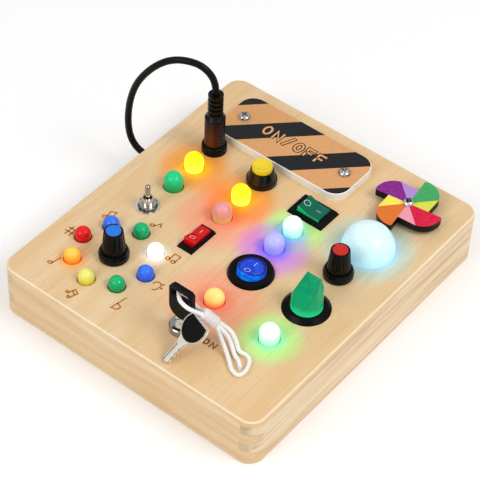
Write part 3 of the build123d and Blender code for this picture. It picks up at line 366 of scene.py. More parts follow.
def metal(name, colour, roughness, brushed=(1, 1, 1), depth=0.003):
    """Plated metal: fine scratches along one way and patches of duller plating."""
    paint = Paint(name, colour, roughness, Metallic=1.0)
    scratch = paint.noise(900, 5, paint.stretched(*brushed))
    patch = paint.noise(260, 3)
    paint.set("Base Color", paint.mix(patch, dimmed(colour, 0.94), colour))
    paint.set("Roughness", paint.span(scratch, 0.3, 0.7, roughness * 0.8, roughness * 1.3))
    paint.bump(scratch, depth)
    return paint


def clear(name, colour, roughness, through, edge=None, edge_shade_width=0.5, **sockets):
    """Tinted see-through plastic with soft flow marks. edge is the colour of its edges, a painted shade for
    the deeper tint seen through thicker plastic.
    """
    paint = Paint(name, colour, roughness, Transmission_Weight=through, IOR=1.49, **sockets)
    flow = paint.noise(160, 3, distortion=0.6)
    paint.tint = paint.mix(flow, dimmed(colour, 0.85), colour)
    if edge:
        paint.tint = paint.mix(paint.edges(edge_shade_width), paint.tint, edge)
    paint.set("Base Color", paint.tint)
    fine = paint.noise(1400, 2)
    paint.set("Roughness", paint.span(fine, 0.3, 0.7, roughness * 0.7, roughness * 1.3))
    paint.bump(fine, 0.004)
    return paint


def lens(name, colour, low=None, light=None, strength=0.0, low_light=None, height=6.5):
    """A milky lamp lens. low is its colour at the foot; a lit lens has light, and low_light at its foot."""
    paint = Paint(name, colour, 0.2, Subsurface_Weight=0.25, Subsurface_Scale=0.004, Coat_Weight=0.2,
                  Coat_Roughness=0.05, Specular_IOR_Level=0.25)
    paint.shader.inputs["Subsurface Radius"].default_value = (0.8, 0.8, 0.8)
    rise = paint.span(paint.axes()[2], (TOP + 0.3) / 1000, (TOP + height) / 1000)
    cloud = paint.noise(420, 3)
    upper = paint.mix(cloud, dimmed(colour, 0.93), colour)
    paint.set("Base Color", paint.mix(rise, low or dimmed(colour, 0.8), upper))
    fine = paint.noise(1600, 2)
    paint.set("Roughness", paint.span(fine, 0.3, 0.7, 0.16, 0.26))
    paint.bump(fine, 0.006)
    if light:
        paint.set("Emission Color", paint.mix(rise, low_light or light, light))
        above = paint.span(paint.axes()[2], (TOP - 0.4) / 1000, TOP / 1000, 0.0, strength)
        paint.set("Emission Strength", paint.maths("MULTIPLY", above, paint.span(cloud, 0.2, 0.8, 0.9, 1.1)))
    return paint


def dress(paint, *names):
    """Gives CAD nodes this material."""
    for name in names:
        mesh = nodes[name].data
        mesh.materials.clear()
        mesh.materials.append(paint.material)


# Wood: pale, satin, with long fine grain.
WOOD = srgb(232, 196, 146)
WOOD_DARK = srgb(222, 180, 126)
WOOD_PALE = srgb(241, 212, 168)
END_GRAIN = srgb(190, 160, 128)
# A thin painted shadow line just over the rounded lower edge of a wall
FOOT_SHADOW = ((0.0, (1, 1, 1, 1)), (0.42, (1, 1, 1, 1)), (0.55, (0.72, 0.68, 0.62, 1)), (0.7, (1, 1, 1, 1)))


def wood(name, along, tone=1.0, pale=0.0, streaks=0.0, ends_shown=0.0, painted_edge_highlight=0.0, halos=()):
    """Wood with its grain along axis 0, X, or 1, Y. The shares say how much of each feature shows; pale is
    painted light over the whole surface, and the edge share paints a highlight where the top rounds over.
    """
    paint = Paint(name, WOOD, 0.5, Coat_Weight=0.1, Coat_Roughness=0.35)
    fine_scale = [1.0, 1.0, 1.0]
    fine_scale[along] = 0.035
    broad_scale = [1.0, 1.0, 1.0]
    broad_scale[along] = 0.16
    fine = paint.noise(1100, 6, paint.stretched(*fine_scale))
    broad = paint.noise(75, 4, paint.stretched(*broad_scale), distortion=0.8)
    cloud = paint.noise(16, 3)
    pores = paint.noise(2600, 2, paint.stretched(*[s * 1.0 if s == 1.0 else 0.09 for s in fine_scale]))
    body = paint.mix(paint.span(broad, 0.36, 0.68), dimmed(WOOD, tone), dimmed(WOOD_PALE, tone * 0.98))
    body = paint.mix(paint.span(fine, 0.46, 0.74, 0.0, 0.55), body, dimmed(WOOD_DARK, tone))
    body = paint.mix(paint.span(cloud, 0.5, 0.75, 0.0, 0.4), body, dimmed(srgb(238, 194, 136), tone))
    body = paint.mix(paint.span(pores, 0.62, 0.72, 0.0, 0.2), body, dimmed(srgb(190, 146, 98), tone))
    # Painted light: pale lightens the whole surface, as on a lit wall.
    if pale:
        body = paint.mix(pale, body, srgb(246, 228, 196))
    if streaks:
        streak_scale = [1.0, 1.0, 1.0]
        streak_scale[along] = 0.05
        streak = paint.noise(230, 3, paint.stretched(*streak_scale), distortion=0.3)
        body = paint.mix(paint.span(streak, 0.5, 0.66, 0.0, streaks), body, srgb(206, 164, 116))
        body = paint.mix(paint.span(streak, 0.44, 0.3, 0.0, streaks), body, srgb(252, 234, 200))
        # Painted shade: a dark line over the wall's rounded lower edge.
        rise = paint.axes()[2]
        line = paint.ramp(paint.span(rise, 0.0, 0.0025), FOOT_SHADOW)
        body = paint.mix(1.0, body, line, "MULTIPLY")
    across = paint.maths("ABSOLUTE", paint.normal()[along])
    ends = paint.span(across, 0.72, 0.93, 0.0, ends_shown)
    end_spots = paint.noise(900, 4)
    end_colour = paint.mix(end_spots, dimmed(END_GRAIN, 0.8), dimmed(END_GRAIN, 1.25))
    # Painted highlight: the rounded top edges are painted lighter.
    if painted_edge_highlight:
        up = paint.normal()[2]
        rise = paint.span(up, 0.3, 0.65)
        fall = paint.span(up, 0.86, 0.97, 1.0, 0.0)
        share = paint.maths("MULTIPLY", paint.maths("MULTIPLY", rise, fall), painted_edge_highlight)
        body = paint.mix(share, body, srgb(255, 241, 216))
    else:
        body = paint.mix(ends, body, end_colour)
    for places, glow, start, reach in halos:
        for place in places:
            body = paint.halo(body, place, glow, start, reach)
    paint.set("Base Color", body)
    paint.set("Roughness", paint.span(fine, 0.3, 0.7, 0.42, 0.6))
    paint.bump(paint.maths("ADD", paint.maths("MULTIPLY", fine, 0.7), paint.maths("MULTIPLY", pores, 0.3)),
               0.05)
    return paint


# Painted light of the lit lamps on the wood, and painted shade round the unlit ones in the ring
YELLOW_LAMPS = ((-49.6, 21.3), (-17.5, 18.6))
PINK_LAMPS = ((-16.7, 2.9),)
GREENISH_LAMP = (15.4, 17.6)
WHITE_LAMP = (49.2, -44.0)
VIOLET_LAMPS = ((15.6, 2.6),)
ORANGE_LAMPS = ((15.4, -42.4),)
DOME_AT = (50.1, 32.0)
RING_AT = (-39.4, -50.8)
RING_R = 19.8


def ring_place(degrees):
    turn = math.radians(degrees)
    return (RING_AT[0] + RING_R * math.cos(turn), RING_AT[1] + RING_R * math.sin(turn))


# Each glow is painted lamp light: the wood's colour close to a lamp and its colour further out
ICE = (srgb(190, 215, 220), srgb(205, 205, 175))
CORAL = (srgb(250, 145, 110), srgb(245, 170, 130))
AMBER = (srgb(255, 190, 0), srgb(245, 165, 80))
VIOLET = (srgb(160, 120, 250), srgb(220, 150, 210))
MINT = (srgb(160, 250, 180), srgb(200, 235, 140))
WARM_WHITE = (srgb(250, 235, 220), srgb(240, 215, 180))
EMBER = (srgb(250, 180, 80), srgb(240, 185, 120))
HOLE_SHADOW = (srgb(110, 80, 50), srgb(170, 135, 90))     # painted shadow at the hole's edge round an unlit lamp
WHITE_IN_RING = 45    # degrees round the ring of lamps
ORANGE_IN_RING = 225
UNLIT_IN_RING = (0, 90, 135, 180, 270, 315)
HALOS = (
    ((DOME_AT,), ICE, 13.0, 26.0),
    (ORANGE_LAMPS, CORAL, 5.0, 28.0),
    (PINK_LAMPS, CORAL, 5.0, 28.0),
    (YELLOW_LAMPS, AMBER, 5.0, 22.0),
    (VIOLET_LAMPS, VIOLET, 5.0, 22.0),
    ((GREENISH_LAMP, WHITE_LAMP), MINT, 5.0, 19.0),
    ((ring_place(WHITE_IN_RING),), WARM_WHITE, 4.0, 9.0),
    ((ring_place(ORANGE_IN_RING),), EMBER, 4.0, 9.0),
    ([ring_place(turn) for turn in UNLIT_IN_RING], HOLE_SHADOW, 3.6, 5.0),
)
board_wood = wood("board wood", 1, painted_edge_highlight=0.75, halos=HALOS)
dress(board_wood, "top_panel")
dress(wood("front wood", 0, streaks=0.3, ends_shown=0.1), "front_wall", "back_wall")
# The side walls are painted paler: painted light, as on the lit right wall.
dress(wood("side wood", 1, pale=0.45, streaks=0.75, ends_shown=0.6), "left_wall", "right_wall")
dress(wood("base wood", 0, tone=0.98), "bottom_panel")

# Plastics, rubber and metal
BLACK = srgb(13, 13, 14)
black = moulded("black plastic", BLACK, 0.28, grain=3000, depth=0.008, vary=0.2, Specular_IOR_Level=0.08)
dress(black, "power_socket", "red_switch_housing", "green_switch_housing",
      "blue_switch_housing", "selector_base", "cord_grommet")
dress(moulded("bezel black", BLACK, 0.14, grain=3000, depth=0.004, vary=0.2, Specular_IOR_Level=0.3),
      "button_bezel")
dress(moulded("key head black", srgb(15, 16, 16), 0.42, grain=2400, depth=0.02, vary=0.15,
              Specular_IOR_Level=0.1), "key_head")
dress(moulded("knob black", srgb(12, 12, 13), 0.2, grain=2600, depth=0.006, vary=0.2,
              Specular_IOR_Level=0.14), "music_knob", "dimmer_knob")
rubber = moulded("cord black", srgb(15, 12, 11), 0.3, grain=1800, depth=0.01, vary=0.25,
                 Specular_IOR_Level=0.14)
REFLECTION_FOOT = 12        # heights over the board between which the plug's painted reflection of the yellow lamps fades in
REFLECTION_HEAD = 22
# Painted reflection: the plug's side towards the yellow lamps is painted brown-orange over a band of
# heights.
reflecting_plug = moulded("plug black", srgb(15, 12, 11), 0.28, grain=1800, depth=0.01, Specular_IOR_Level=0.16)
lamp_facing_side = reflecting_plug.span(reflecting_plug.normal()[1], -0.3, -0.95)
reflection_band = reflecting_plug.span(reflecting_plug.axes()[2], (TOP + REFLECTION_HEAD) / 1000, (TOP + REFLECTION_FOOT) / 1000)
reflection_share = reflecting_plug.maths("MULTIPLY", reflecting_plug.maths("MULTIPLY", lamp_facing_side, reflection_band), 0.9)
reflecting_plug.set("Base Color", reflecting_plug.mix(reflection_share, srgb(15, 12, 11), srgb(96, 36, 10)))
dress(reflecting_plug, "plug_body")
cord.data.materials.append(rubber.material)
dress(moulded("tray black", srgb(34, 34, 34), 0.6, depth=0.04), "battery_holder", "battery_cover")
dress(moulded("cell wrap", srgb(70, 120, 90), 0.3), "battery_cells")
dress(moulded("circuit green", srgb(20, 110, 60), 0.4), "circuit_board")
dress(moulded("blue cap", srgb(20, 120, 230), 0.3, depth=0.01, vary=0.06), "music_knob_cap")
dress(moulded("red cap", srgb(204, 22, 10), 0.3, depth=0.01, vary=0.06), "dimmer_knob_cap")
dress(moulded("yellow cap", srgb(244, 214, 36), 0.32, depth=0.01, vary=0.04,
              Subsurface_Weight=0.2, Subsurface_Scale=0.002), "button_cap")
CHROME = srgb(236, 236, 238)
dress(metal("screw steel", srgb(206, 204, 200), 0.12, depth=0.001), "wood_screws")
SPIN_AT = (50.3, 64.4)
RECESS_SHADE_R = 1.0        # painted shade in the screw's recess, a dark middle full inside this radius and gone at the next
RECESS_SHADE_END_R = 1.9
spin_screw = metal("pinwheel screw steel", CHROME, 0.14, depth=0.001)
# Painted shade: the middle of the screw head is painted dark.
recess_shade = spin_screw.span(spin_screw.away(SPIN_AT), RECESS_SHADE_R, RECESS_SHADE_END_R, 1.0, 0.0)
spin_screw.set("Base Color", spin_screw.mix(recess_shade, CHROME, srgb(60, 58, 56)))
dress(spin_screw, "pinwheel_screw")
dress(metal("bushing steel", srgb(205, 205, 205), 0.22), "music_switch", "dimmer_pot")
dress(metal("lock chrome", srgb(170, 168, 166), 0.13, depth=0.001), "key_lock", "lock_core")
TOGGLE_AT = (-49.0, -14.9)
dress(metal("toggle chrome", srgb(214, 210, 204), 0.12, depth=0.001), "toggle_body")
nuts = metal("nut steel", srgb(210, 207, 202), 0.16, depth=0.001)
WASHER_REACH = 7.0
# The washer's painted shade and highlight, a dark ring at the nut's foot and a lighter outer rim: shares of
# that reach from the toggle's axis, and 0-255 shades
WASHER_SHADE = ((0.0, 205), (0.58, 196), (0.63, 96), (0.69, 110), (0.73, 236), (1.0, 240))
washer_shade_stops = [(place, srgb(shade, shade * 0.98, shade * 0.95)) for place, shade in WASHER_SHADE]
nuts.set("Base Color", nuts.ramp(nuts.span(nuts.away(TOGGLE_AT), 0.0, WASHER_REACH), washer_shade_stops))
dress(nuts, "panel_nuts")
dress(metal("toggle lever chrome", srgb(176, 172, 166), 0.14, depth=0.001), "toggle_lever")
dress(metal("key nickel", srgb(228, 220, 204), 0.2, brushed=(1, 0.15, 1), depth=0.008), "key_blade",
      "plug_barrel")

# Tinted see-through plastics
clear_red = clear("clear red", srgb(226, 10, 16), 0.09, 0.2, srgb(120, 0, 4), 0.7,
                  Specular_IOR_Level=0.15, Coat_Weight=0.12, Coat_Roughness=0.05)
# Painted light: the red rocker is no lamp but glows, more strongly towards its top.
red_glow_rise = clear_red.span(clear_red.axes()[2], (TOP + 2.4) / 1000, (TOP + 5.6) / 1000)
clear_red.set("Emission Color", srgb(255, 6, 12))
clear_red.set("Emission Strength", clear_red.span(red_glow_rise, 0.0, 1.0, 0.04, 0.22))
dress(clear_red, "red_rocker")

clear_green = clear("clear green", srgb(0, 116, 92), 0.09, 0.2, srgb(0, 62, 50), 0.7,
                    Specular_IOR_Level=0.12, Coat_Weight=0.1, Coat_Roughness=0.05)
# Painted light: the rocker's near side is painted lighter and glows.
facing = clear_green.normal()
side_lit = clear_green.span(facing[2], 0.55, 0.85, 1.0, 0.0)
near_side = clear_green.span(facing[1], -0.35, -0.8)
side_lit = clear_green.maths("MULTIPLY", side_lit, near_side)
clear_green.set("Base Color", clear_green.mix(side_lit, clear_green.tint, srgb(10, 180, 108)))
clear_green.set("Emission Color", srgb(20, 230, 130))
clear_green.set("Emission Strength", clear_green.maths("MULTIPLY", side_lit, 0.2))
dress(clear_green, "green_rocker")

BLUE_AT = (17.2, -17.1)
BLUE_RIM_R = 5.4      # the top darkens from this radius to the next
BLUE_RIM_END_R = 6.4
clear_blue = clear("clear blue", srgb(14, 70, 224), 0.08, 0.2, srgb(2, 8, 96), 1.0,
                   Specular_IOR_Level=0.15, Coat_Weight=0.15, Coat_Roughness=0.05)
# Painted light: the side walls are painted a lighter cyan and glow more than the top; the whole rocker glows
# a little.
side = clear_blue.span(clear_blue.normal()[2], 0.5, 0.8, 1.0, 0.0)
cells = clear_blue.noise(380, 3, distortion=1.2)
wall = clear_blue.mix(clear_blue.span(cells, 0.35, 0.65), srgb(6, 70, 220), srgb(30, 160, 250))
deep = clear_blue.mix(clear_blue.span(cells, 0.45, 0.7), clear_blue.tint, srgb(40, 110, 244))
from_middle = clear_blue.away(BLUE_AT)
deep = clear_blue.mix(clear_blue.span(from_middle, BLUE_RIM_R, BLUE_RIM_END_R), deep, srgb(4, 14, 120))
clear_blue.set("Base Color", clear_blue.mix(side, deep, wall))
clear_blue.set("Emission Color", clear_blue.mix(side, srgb(8, 40, 220), srgb(10, 120, 250)))
clear_blue.set("Emission Strength", clear_blue.span(side, 0.0, 1.0, 0.08, 0.3))
dress(clear_blue, "blue_rocker")

handle = clear("clear green handle", srgb(0, 178, 122), 0.07, 0.12, srgb(0, 96, 66), 1.2,
               Specular_IOR_Level=0.06, Coat_Weight=0.14, Coat_Roughness=0.02)
# Painted light: the handle's foot is painted lighter and glows.
foot = handle.span(handle.axes()[2], (TOP + 1.6) / 1000, (TOP + 6.0) / 1000, 1.0, 0.0)
swirl = handle.noise(150, 3, distortion=1.6)
inner = handle.mix(handle.span(swirl, 0.4, 0.65, 0.0, 0.75), handle.tint, srgb(0, 146, 110))
handle.set("Base Color", handle.mix(foot, inner, srgb(70, 230, 170)))
handle.set("Emission Color", srgb(0, 226, 146))
handle.set("Emission Strength", handle.span(foot, 0.0, 1.0, 0.06, 0.34))

# The handle leans in towards its top more on its left than the solid does
HANDLE_AT = (50.7, -17.7)
LEAN_FROM = 6.0       # height over the board at which it starts
LEAN_TO = 18.0
LEAN_SHARE = 0.38
handle_mesh = nodes["selector_handle"].data.copy()
for vertex in handle_mesh.vertices:
    rise = min(1.0, max(0.0, (vertex.co.z * 1000 - TOP - LEAN_FROM) / (LEAN_TO - LEAN_FROM)))
    offset = Vector((vertex.co.x - HANDLE_AT[0] / 1000, vertex.co.y - HANDLE_AT[1] / 1000))
    sideways = Vector((0.78, 0.62)).normalized()
    reach = offset.dot(sideways)
    if reach < 0:
        shift = -reach * LEAN_SHARE * rise * rise * (3 - 2 * rise)
        vertex.co.x += sideways.x * shift
        vertex.co.y += sideways.y * shift
handle_mesh.materials.clear()
handle_mesh.materials.append(handle.material)
leaning_handle = add("green_handle", handle_mesh)
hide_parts("selector_handle")
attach(leaning_handle, "selector")
bead = clear("clear bead", srgb(255, 248, 250), 0.14, 0.15)
# Painted highlights: patches of the bead glow faintly.
bead.set("Emission Color", srgb(255, 236, 240))
bead.set("Emission Strength", bead.span(bead.noise(700, 3, distortion=1.0), 0.4, 0.7, 0.0, 0.12))
dress(bead, "lanyard_bead")

# Lamps: lit ones carry their own light, and the unlit red and blue of the ring a little
dress(lens("green lens", srgb(36, 220, 146), srgb(0, 168, 88)), "lamp_green")
dress(lens("small green lens", srgb(14, 202, 128), srgb(0, 150, 84)), "ring_lamp_green")
dress(lens("small blue lens", srgb(64, 132, 248), srgb(30, 86, 236), srgb(0, 80, 255), 0.1),
      "ring_lamp_blue")
dress(lens("small red lens", srgb(238, 24, 26), srgb(186, 4, 8), srgb(255, 0, 4), 0.1), "ring_lamp_red")
dress(lens("small yellow lens", srgb(254, 250, 140), srgb(236, 226, 64)), "ring_lamp_yellow")
# Painted light: the pink lens's foot is peach, for the light of the lit lamps near it.
dress(lens("pink lens", srgb(252, 166, 162), srgb(255, 206, 124)), "lamp_pink")
dress(lens("yellow lens", srgb(255, 214, 0), None, srgb(255, 214, 0), 1.2, srgb(255, 232, 90), 7.5),
      "lamp_yellow")
dress(lens("white lens", srgb(222, 246, 236), None, srgb(214, 255, 238), 0.55, srgb(120, 255, 180)),
      "lamp_white")
dress(lens("violet lens", srgb(186, 186, 252), None, srgb(150, 150, 255), 0.35, srgb(120, 90, 255)),
      "lamp_violet")
dress(lens("orange lens", srgb(255, 224, 140), srgb(250, 120, 80), srgb(255, 196, 84), 0.42,
           srgb(255, 70, 50), 4.5),
      "lamp_orange")
dress(lens("small white lens", srgb(250, 250, 250), None, srgb(255, 248, 236), 0.9),
      "ring_lamp_white")
dress(lens("small orange lens", srgb(255, 214, 80), srgb(250, 130, 20), srgb(255, 190, 60), 0.3,
           srgb(255, 110, 10)), "ring_lamp_orange")
dress(lens("dome white", srgb(218, 242, 246), srgb(194, 236, 250), srgb(156, 170, 174), 0.5,
           srgb(150, 210, 228), 13.0), "dome_diffuser")

# Striped plate: the stripes run at 45 degrees. Their edges lie where x - y, in millimetres, is:
STRIPE_EDGES = (-126.6, -105.6, -90.7, -71.2, -55.8, -36.3)
STRIPES_START = -150  # x - y beyond the plate's corner
STRIPE_BLACK = srgb(18, 20, 24)
STRIPE_TAN = srgb(231, 170, 112)
plate = Paint("striped plate", STRIPE_TAN, 0.34, Specular_IOR_Level=0.3)
px, py = plate.axes()[:2]
slant = plate.maths("MULTIPLY", plate.maths("SUBTRACT", px, py), 1000.0)
share = plate.span(slant, STRIPES_START, 0.0)
stops = [(0.0, STRIPE_BLACK)]
for count, edge in enumerate(STRIPE_EDGES):
    stops.append((1 - edge / STRIPES_START, STRIPE_TAN if count % 2 == 0 else STRIPE_BLACK))
stripes = plate.ramp(share, stops, "CONSTANT")
ink = plate.noise(700, 4)
stripes = plate.mix(plate.span(ink, 0.3, 0.7, 0.88, 1.0), srgb(0, 0, 0), stripes)
top_side = plate.span(plate.normal()[2], 0.75, 0.85)
plate.set("Base Color", plate.mix(top_side, srgb(252, 250, 242), stripes))
plate.set("Roughness", plate.span(ink, 0.3, 0.7, 0.28, 0.4))
plate.bump(ink, 0.01)
dress(plate, "label_plate")

# Pinwheel: eight painted sectors on top, black sides
SPIN_TIP = 7.5        # degrees, the first light part's leading corner
SPIN_DARK = 0.11      # where the dark part of each quarter starts, as a share of a turn
SECTORS = (
    (srgb(244, 158, 178), srgb(222, 0, 62)),
    (srgb(222, 226, 74), srgb(64, 170, 98)),
    (srgb(186, 140, 216), srgb(138, 22, 142)),
    (srgb(255, 236, 92), srgb(230, 118, 34)),
)
spinner = Paint("spinner paint", BLACK, 0.4, Specular_IOR_Level=0.14)
sx, sy = spinner.axes()[:2]
angle = spinner.maths("ARCTAN2", spinner.maths("SUBTRACT", sy, SPIN_AT[1] / 1000),
                      spinner.maths("SUBTRACT", sx, SPIN_AT[0] / 1000))
turn = spinner.maths("ADD", spinner.maths("DIVIDE", angle, 2 * math.pi), 1.25 - SPIN_TIP / 360)
turn = spinner.maths("FRACT", turn)
stops = []
for count, (light_half, dark_half) in enumerate(SECTORS):
    stops.append((count / 4, light_half))
    stops.append((count / 4 + SPIN_DARK, dark_half))
sectors = spinner.ramp(turn, stops, "CONSTANT")
paint_mottle = spinner.noise(500, 4)
sectors = spinner.mix(spinner.span(paint_mottle, 0.3, 0.7, 0.0, 0.03), sectors, srgb(255, 255, 255))
sides = spinner.mix(paint_mottle, srgb(10, 9, 9), srgb(26, 22, 20))
spinner.set("Base Color", spinner.mix(spinner.span(spinner.normal()[2], 0.75, 0.85), sides, sectors))
spinner.bump(paint_mottle, 0.01)
dress(spinner, "pinwheel")

# Spare key: nickel with a black insert
spare = metal("spare key nickel", srgb(250, 243, 230), 0.2, brushed=(0.3, 1, 1), depth=0.008)
spare.set("Metallic", 0.35)
bright = spare.mix(spare.noise(260, 3), srgb(235, 228, 216), srgb(250, 243, 230))
# Painted shade: the blade's edges are painted darker.
spare.set("Base Color", spare.mix(spare.edges(0.45), bright, srgb(120, 108, 94)))
dress(spare, "spare_key_blade")
dress(moulded("insert black", srgb(14, 14, 14), 0.42, grain=2400, depth=0.02, Specular_IOR_Level=0.1),
      "spare_key_head")

# Lanyard: braided white cord
BRAID_PITCH = 3.2     # millimetres along the cord for one full crossing
braid = Paint("lanyard white", srgb(250, 250, 247), 0.75, Sheen_Weight=0.3)
weave = braid.axes(braid.node("ShaderNodeAttribute", attribute_name="weave").outputs["Vector"])
along = braid.maths("COSINE", braid.maths("MULTIPLY", weave[1], 2 * math.pi * 1000 / BRAID_PITCH))
strands = braid.maths("ABSOLUTE", braid.maths("MULTIPLY", weave[0], along))
fibre = braid.noise(2600, 3)
strands = braid.maths("ADD", strands, braid.maths("MULTIPLY", fibre, 0.25))
braid.set("Base Color", braid.mix(braid.span(strands, 0.1, 0.6), srgb(240, 240, 237), srgb(255, 255, 254)))
braid.bump(strands, 0.04)
for piece in (ring, hand_loop, tail):
    piece.data.materials.append(braid.material)

# ---- Burnt and printed marks ----
def arc(x, y, wide, high, first=0, last=360, lean=0):
    """Points round part of an ellipse; angles in degrees, lean turns the whole of it."""
    count = max(4, round(abs(last - first) / 20))
    tilt = math.radians(lean)
    points = []
    for i in range(count + 1):
        turn = math.radians(first + (last - first) * i / count)
        across = wide / 2 * math.cos(turn)
        up = high / 2 * math.sin(turn)
        points.append((x + across * math.cos(tilt) - up * math.sin(tilt),
                       y + across * math.sin(tilt) + up * math.cos(tilt)))
    return points


def marks(name, strokes, width, body, paint, height_at, proud=PROUD):
    """Thin slabs of a stroke's width along each line of points (mm), just over a surface."""
    verts = []
    faces = []
    for line in strokes:
        closed = math.dist(line[0], line[-1]) < 0.001
        points = [Vector(point) for point in (line[:-1] if closed else line)]
        count = len(points)
        start = len(verts)
        for i, point in enumerate(points):
            before = points[i - 1] if closed or i else None
            after = points[(i + 1) % count] if closed or i < count - 1 else None
            into = (point - before).normalized() if before is not None else (after - point).normalized()
            out = (after - point).normalized() if after is not None else into
            along = (into + out).normalized()
            side = Vector((-along.y, along.x)) * width / 2 / max(0.5, along.dot(into))
            tip = Vector((0, 0))
            if not closed and i == 0:
                tip = -along * width / 3
            elif not closed and i == count - 1:
                tip = along * width / 3
            for spot in (point + tip + side, point + tip - side):
                low = height_at(*spot)
                verts.append(mm(*spot, low + proud))
                verts.append(mm(*spot, low - proud))
        for i in range(count if closed else count - 1):
            a = start + 4 * i
            b = start + 4 * ((i + 1) % count)
            faces.append((a, a + 2, b + 2, b))
            faces.append((a + 1, b + 1, b + 3, a + 3))
            faces.append((a, b, b + 1, a + 1))
            faces.append((a + 2, a + 3, b + 3, b + 2))
        if not closed:
            end = start + 4 * (count - 1)
            faces.append((start, start + 1, start + 3, start + 2))
            faces.append((end, end + 2, end + 3, end + 1))
    mesh = bpy.data.meshes.new(name)
    mesh.from_pydata(verts, [], faces)
    mesh.update()
    piece = add(name, mesh)
    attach(piece, body)
    mesh.materials.append(paint.material)
    return piece


def board(x, y):
    return TOP


def burnt(name, pale, dark):
    """Scorched wood: uneven brown."""
    paint = Paint(name, pale, 0.7, Specular_IOR_Level=0.3)
    scorch = paint.noise(900, 4)
    paint.set("Base Color", paint.mix(paint.span(scorch, 0.3, 0.7), pale, dark))
    paint.bump(scorch, 0.02)
    return paint


HEAD = (2.1, 1.6)     # note heads, wide and high
NOTE_STROKE = 0.75
ON_STROKE = 0.85
NOTES = [
    # eighth note
    arc(-38.9, -23.2, *HEAD, lean=30),
    [(-37.9, -23.3), (-36.1, -19.8), (-35.4, -21.0), (-34.8, -22.1)],
    # leaning pair under one beam
    arc(-60.5, -33.7, *HEAD, lean=20),
    arc(-58.2, -32.2, *HEAD, lean=20),
    [(-59.6, -33.2), (-60.2, -29.4), (-57.6, -27.9), (-57.2, -31.6)],
    # upright pair under one beam
    arc(-18.9, -35.4, 2.1, 1.8),
    arc(-15.6, -35.6, 2.1, 1.8),
    [(-18.1, -35.2), (-18.1, -30.9), (-14.7, -30.8), (-14.7, -35.4)],
    # bass clef
    arc(-11.6, -51.9, 3.8, 3.8, 190, 0) + arc(-12.0, -52.2, 4.6, 7.2, 0, -80)[1:],
    arc(-9.4, -49.9, 0.5, 0.5),
    arc(-8.6, -52.3, 0.5, 0.5),
    # flat sign
    [(-17.1, -67.5), (-18.7, -76.6), (-16.4, -76.0), (-15.3, -74.6), (-15.6, -73.3), (-18.2, -72.7)],
    # pair of sixteenths
    arc(-40.7, -82.3, 1.6, 1.2, lean=-25),
    arc(-38.3, -84.4, 1.6, 1.2, lean=-25),
    [(-39.9, -82.1), (-38.7, -78.9), (-36.1, -80.2), (-37.4, -84.2)],
    [(-39.3, -80.3), (-36.7, -81.7)],
    # quarter note
    [(-57.9, -68.1), (-58.7, -73.2)],
    arc(-59.8, -73.5, *HEAD, lean=10),
    # sharp sign
    [(-66.9, -48.5), (-67.2, -54.9)],
    [(-64.6, -48.4), (-64.9, -54.7)],
    [(-68.5, -50.3), (-63.4, -49.9)],
    [(-68.7, -52.8), (-63.6, -52.5)],
]
scorched = burnt("burnt marks", srgb(192, 128, 58), srgb(164, 100, 38))
marks("music_marks", NOTES, NOTE_STROKE, "box", scorched, board)
ON = [
    arc(28.4, -64.1, 2.3, 3.0),
    [(31.3, -65.8), (31.3, -62.6), (33.6, -65.7), (33.6, -62.5)],
]
dark_scorched = burnt("burnt letters", srgb(160, 92, 36), srgb(134, 70, 22))
marks("on_lettering", ON, ON_STROKE, "box", dark_scorched, board)

# Outlined generic lettering on the plate
PLATE_T = 4.5
LETTER_PITCH = 6.6
LETTER_HALF_W = 1.9
LETTER_HALF_H = 2.9
F_BAR_SHORT = 0.8     # how much shorter the middle bar of F is
SLASH_IN = 0.4
SLASH_PAST = 0.6      # how far the slash goes past the letters, up and down
LETTER_STROKE = 1.1
OUTLINE_STROKE = 2.3
OUTLINE_PROUD = 0.02
LETTER_PROUD = 0.05   # more, so the letters lie over their outlines
plate_low, plate_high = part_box("label_plate")
PLATE_MIDDLE = [(low + high) * 500 for low, high in zip(plate_low, plate_high)]


def plate_face(x, y):
    return TOP + PLATE_T


def lettering(word):
    """Strokes of O, N, F and / along the plate's middle."""
    strokes = []
    for count, letter in enumerate(word):
        x = PLATE_MIDDLE[0] + (count - (len(word) - 1) / 2) * LETTER_PITCH
        y = PLATE_MIDDLE[1]
        left, right = x - LETTER_HALF_W, x + LETTER_HALF_W
        low, high = y - LETTER_HALF_H, y + LETTER_HALF_H
        if letter == "O":
            strokes.append(arc(x, y, 2 * LETTER_HALF_W, 2 * LETTER_HALF_H))
        elif letter == "N":
            strokes.append([(left, low), (left, high), (right, low), (right, high)])
        elif letter == "F":
            strokes.append([(left, low), (left, high), (right, high)])
            strokes.append([(left, y), (right - F_BAR_SHORT, y)])
        else:
            strokes.append([(left + SLASH_IN, low - SLASH_PAST), (right - SLASH_IN, high + SLASH_PAST)])
    return strokes


ink_black = moulded("plate ink", srgb(18, 20, 24), 0.34, grain=3000, depth=0.004, Specular_IOR_Level=0.3)
ink_tan = moulded("plate letter ink", srgb(231, 170, 112), 0.34, grain=3000, depth=0.004, vary=0.03,
                  Specular_IOR_Level=0.3)
WORD = lettering("ON/OFF")
marks("plate_letter_outlines", WORD, OUTLINE_STROKE, "box", ink_black, plate_face,
      OUTLINE_PROUD)
marks("plate_letters", WORD, LETTER_STROKE, "box", ink_tan, plate_face, LETTER_PROUD)

# Rocker marks: O on the raised half, I on the pressed half
ROCK_FACE = 3.1       # the faces' height over the board
ROCK_TILT = math.tan(math.radians(20))     # the faces' slope
ROCKER_STROKE = 0.26
ROCKER_PROUD = 0.02
ROCK_VALLEY = 0.547   # where the two faces meet, from the pivot


def rocker_face(x, y, along, pivot):
    """Height of a rocker's face; along is the axis that it rocks over, 0 for X and 1 for Y."""
    past = (x, y)[along] - pivot[along]
    return TOP + ROCK_FACE + max(0.0, ROCK_VALLEY - past) * ROCK_TILT


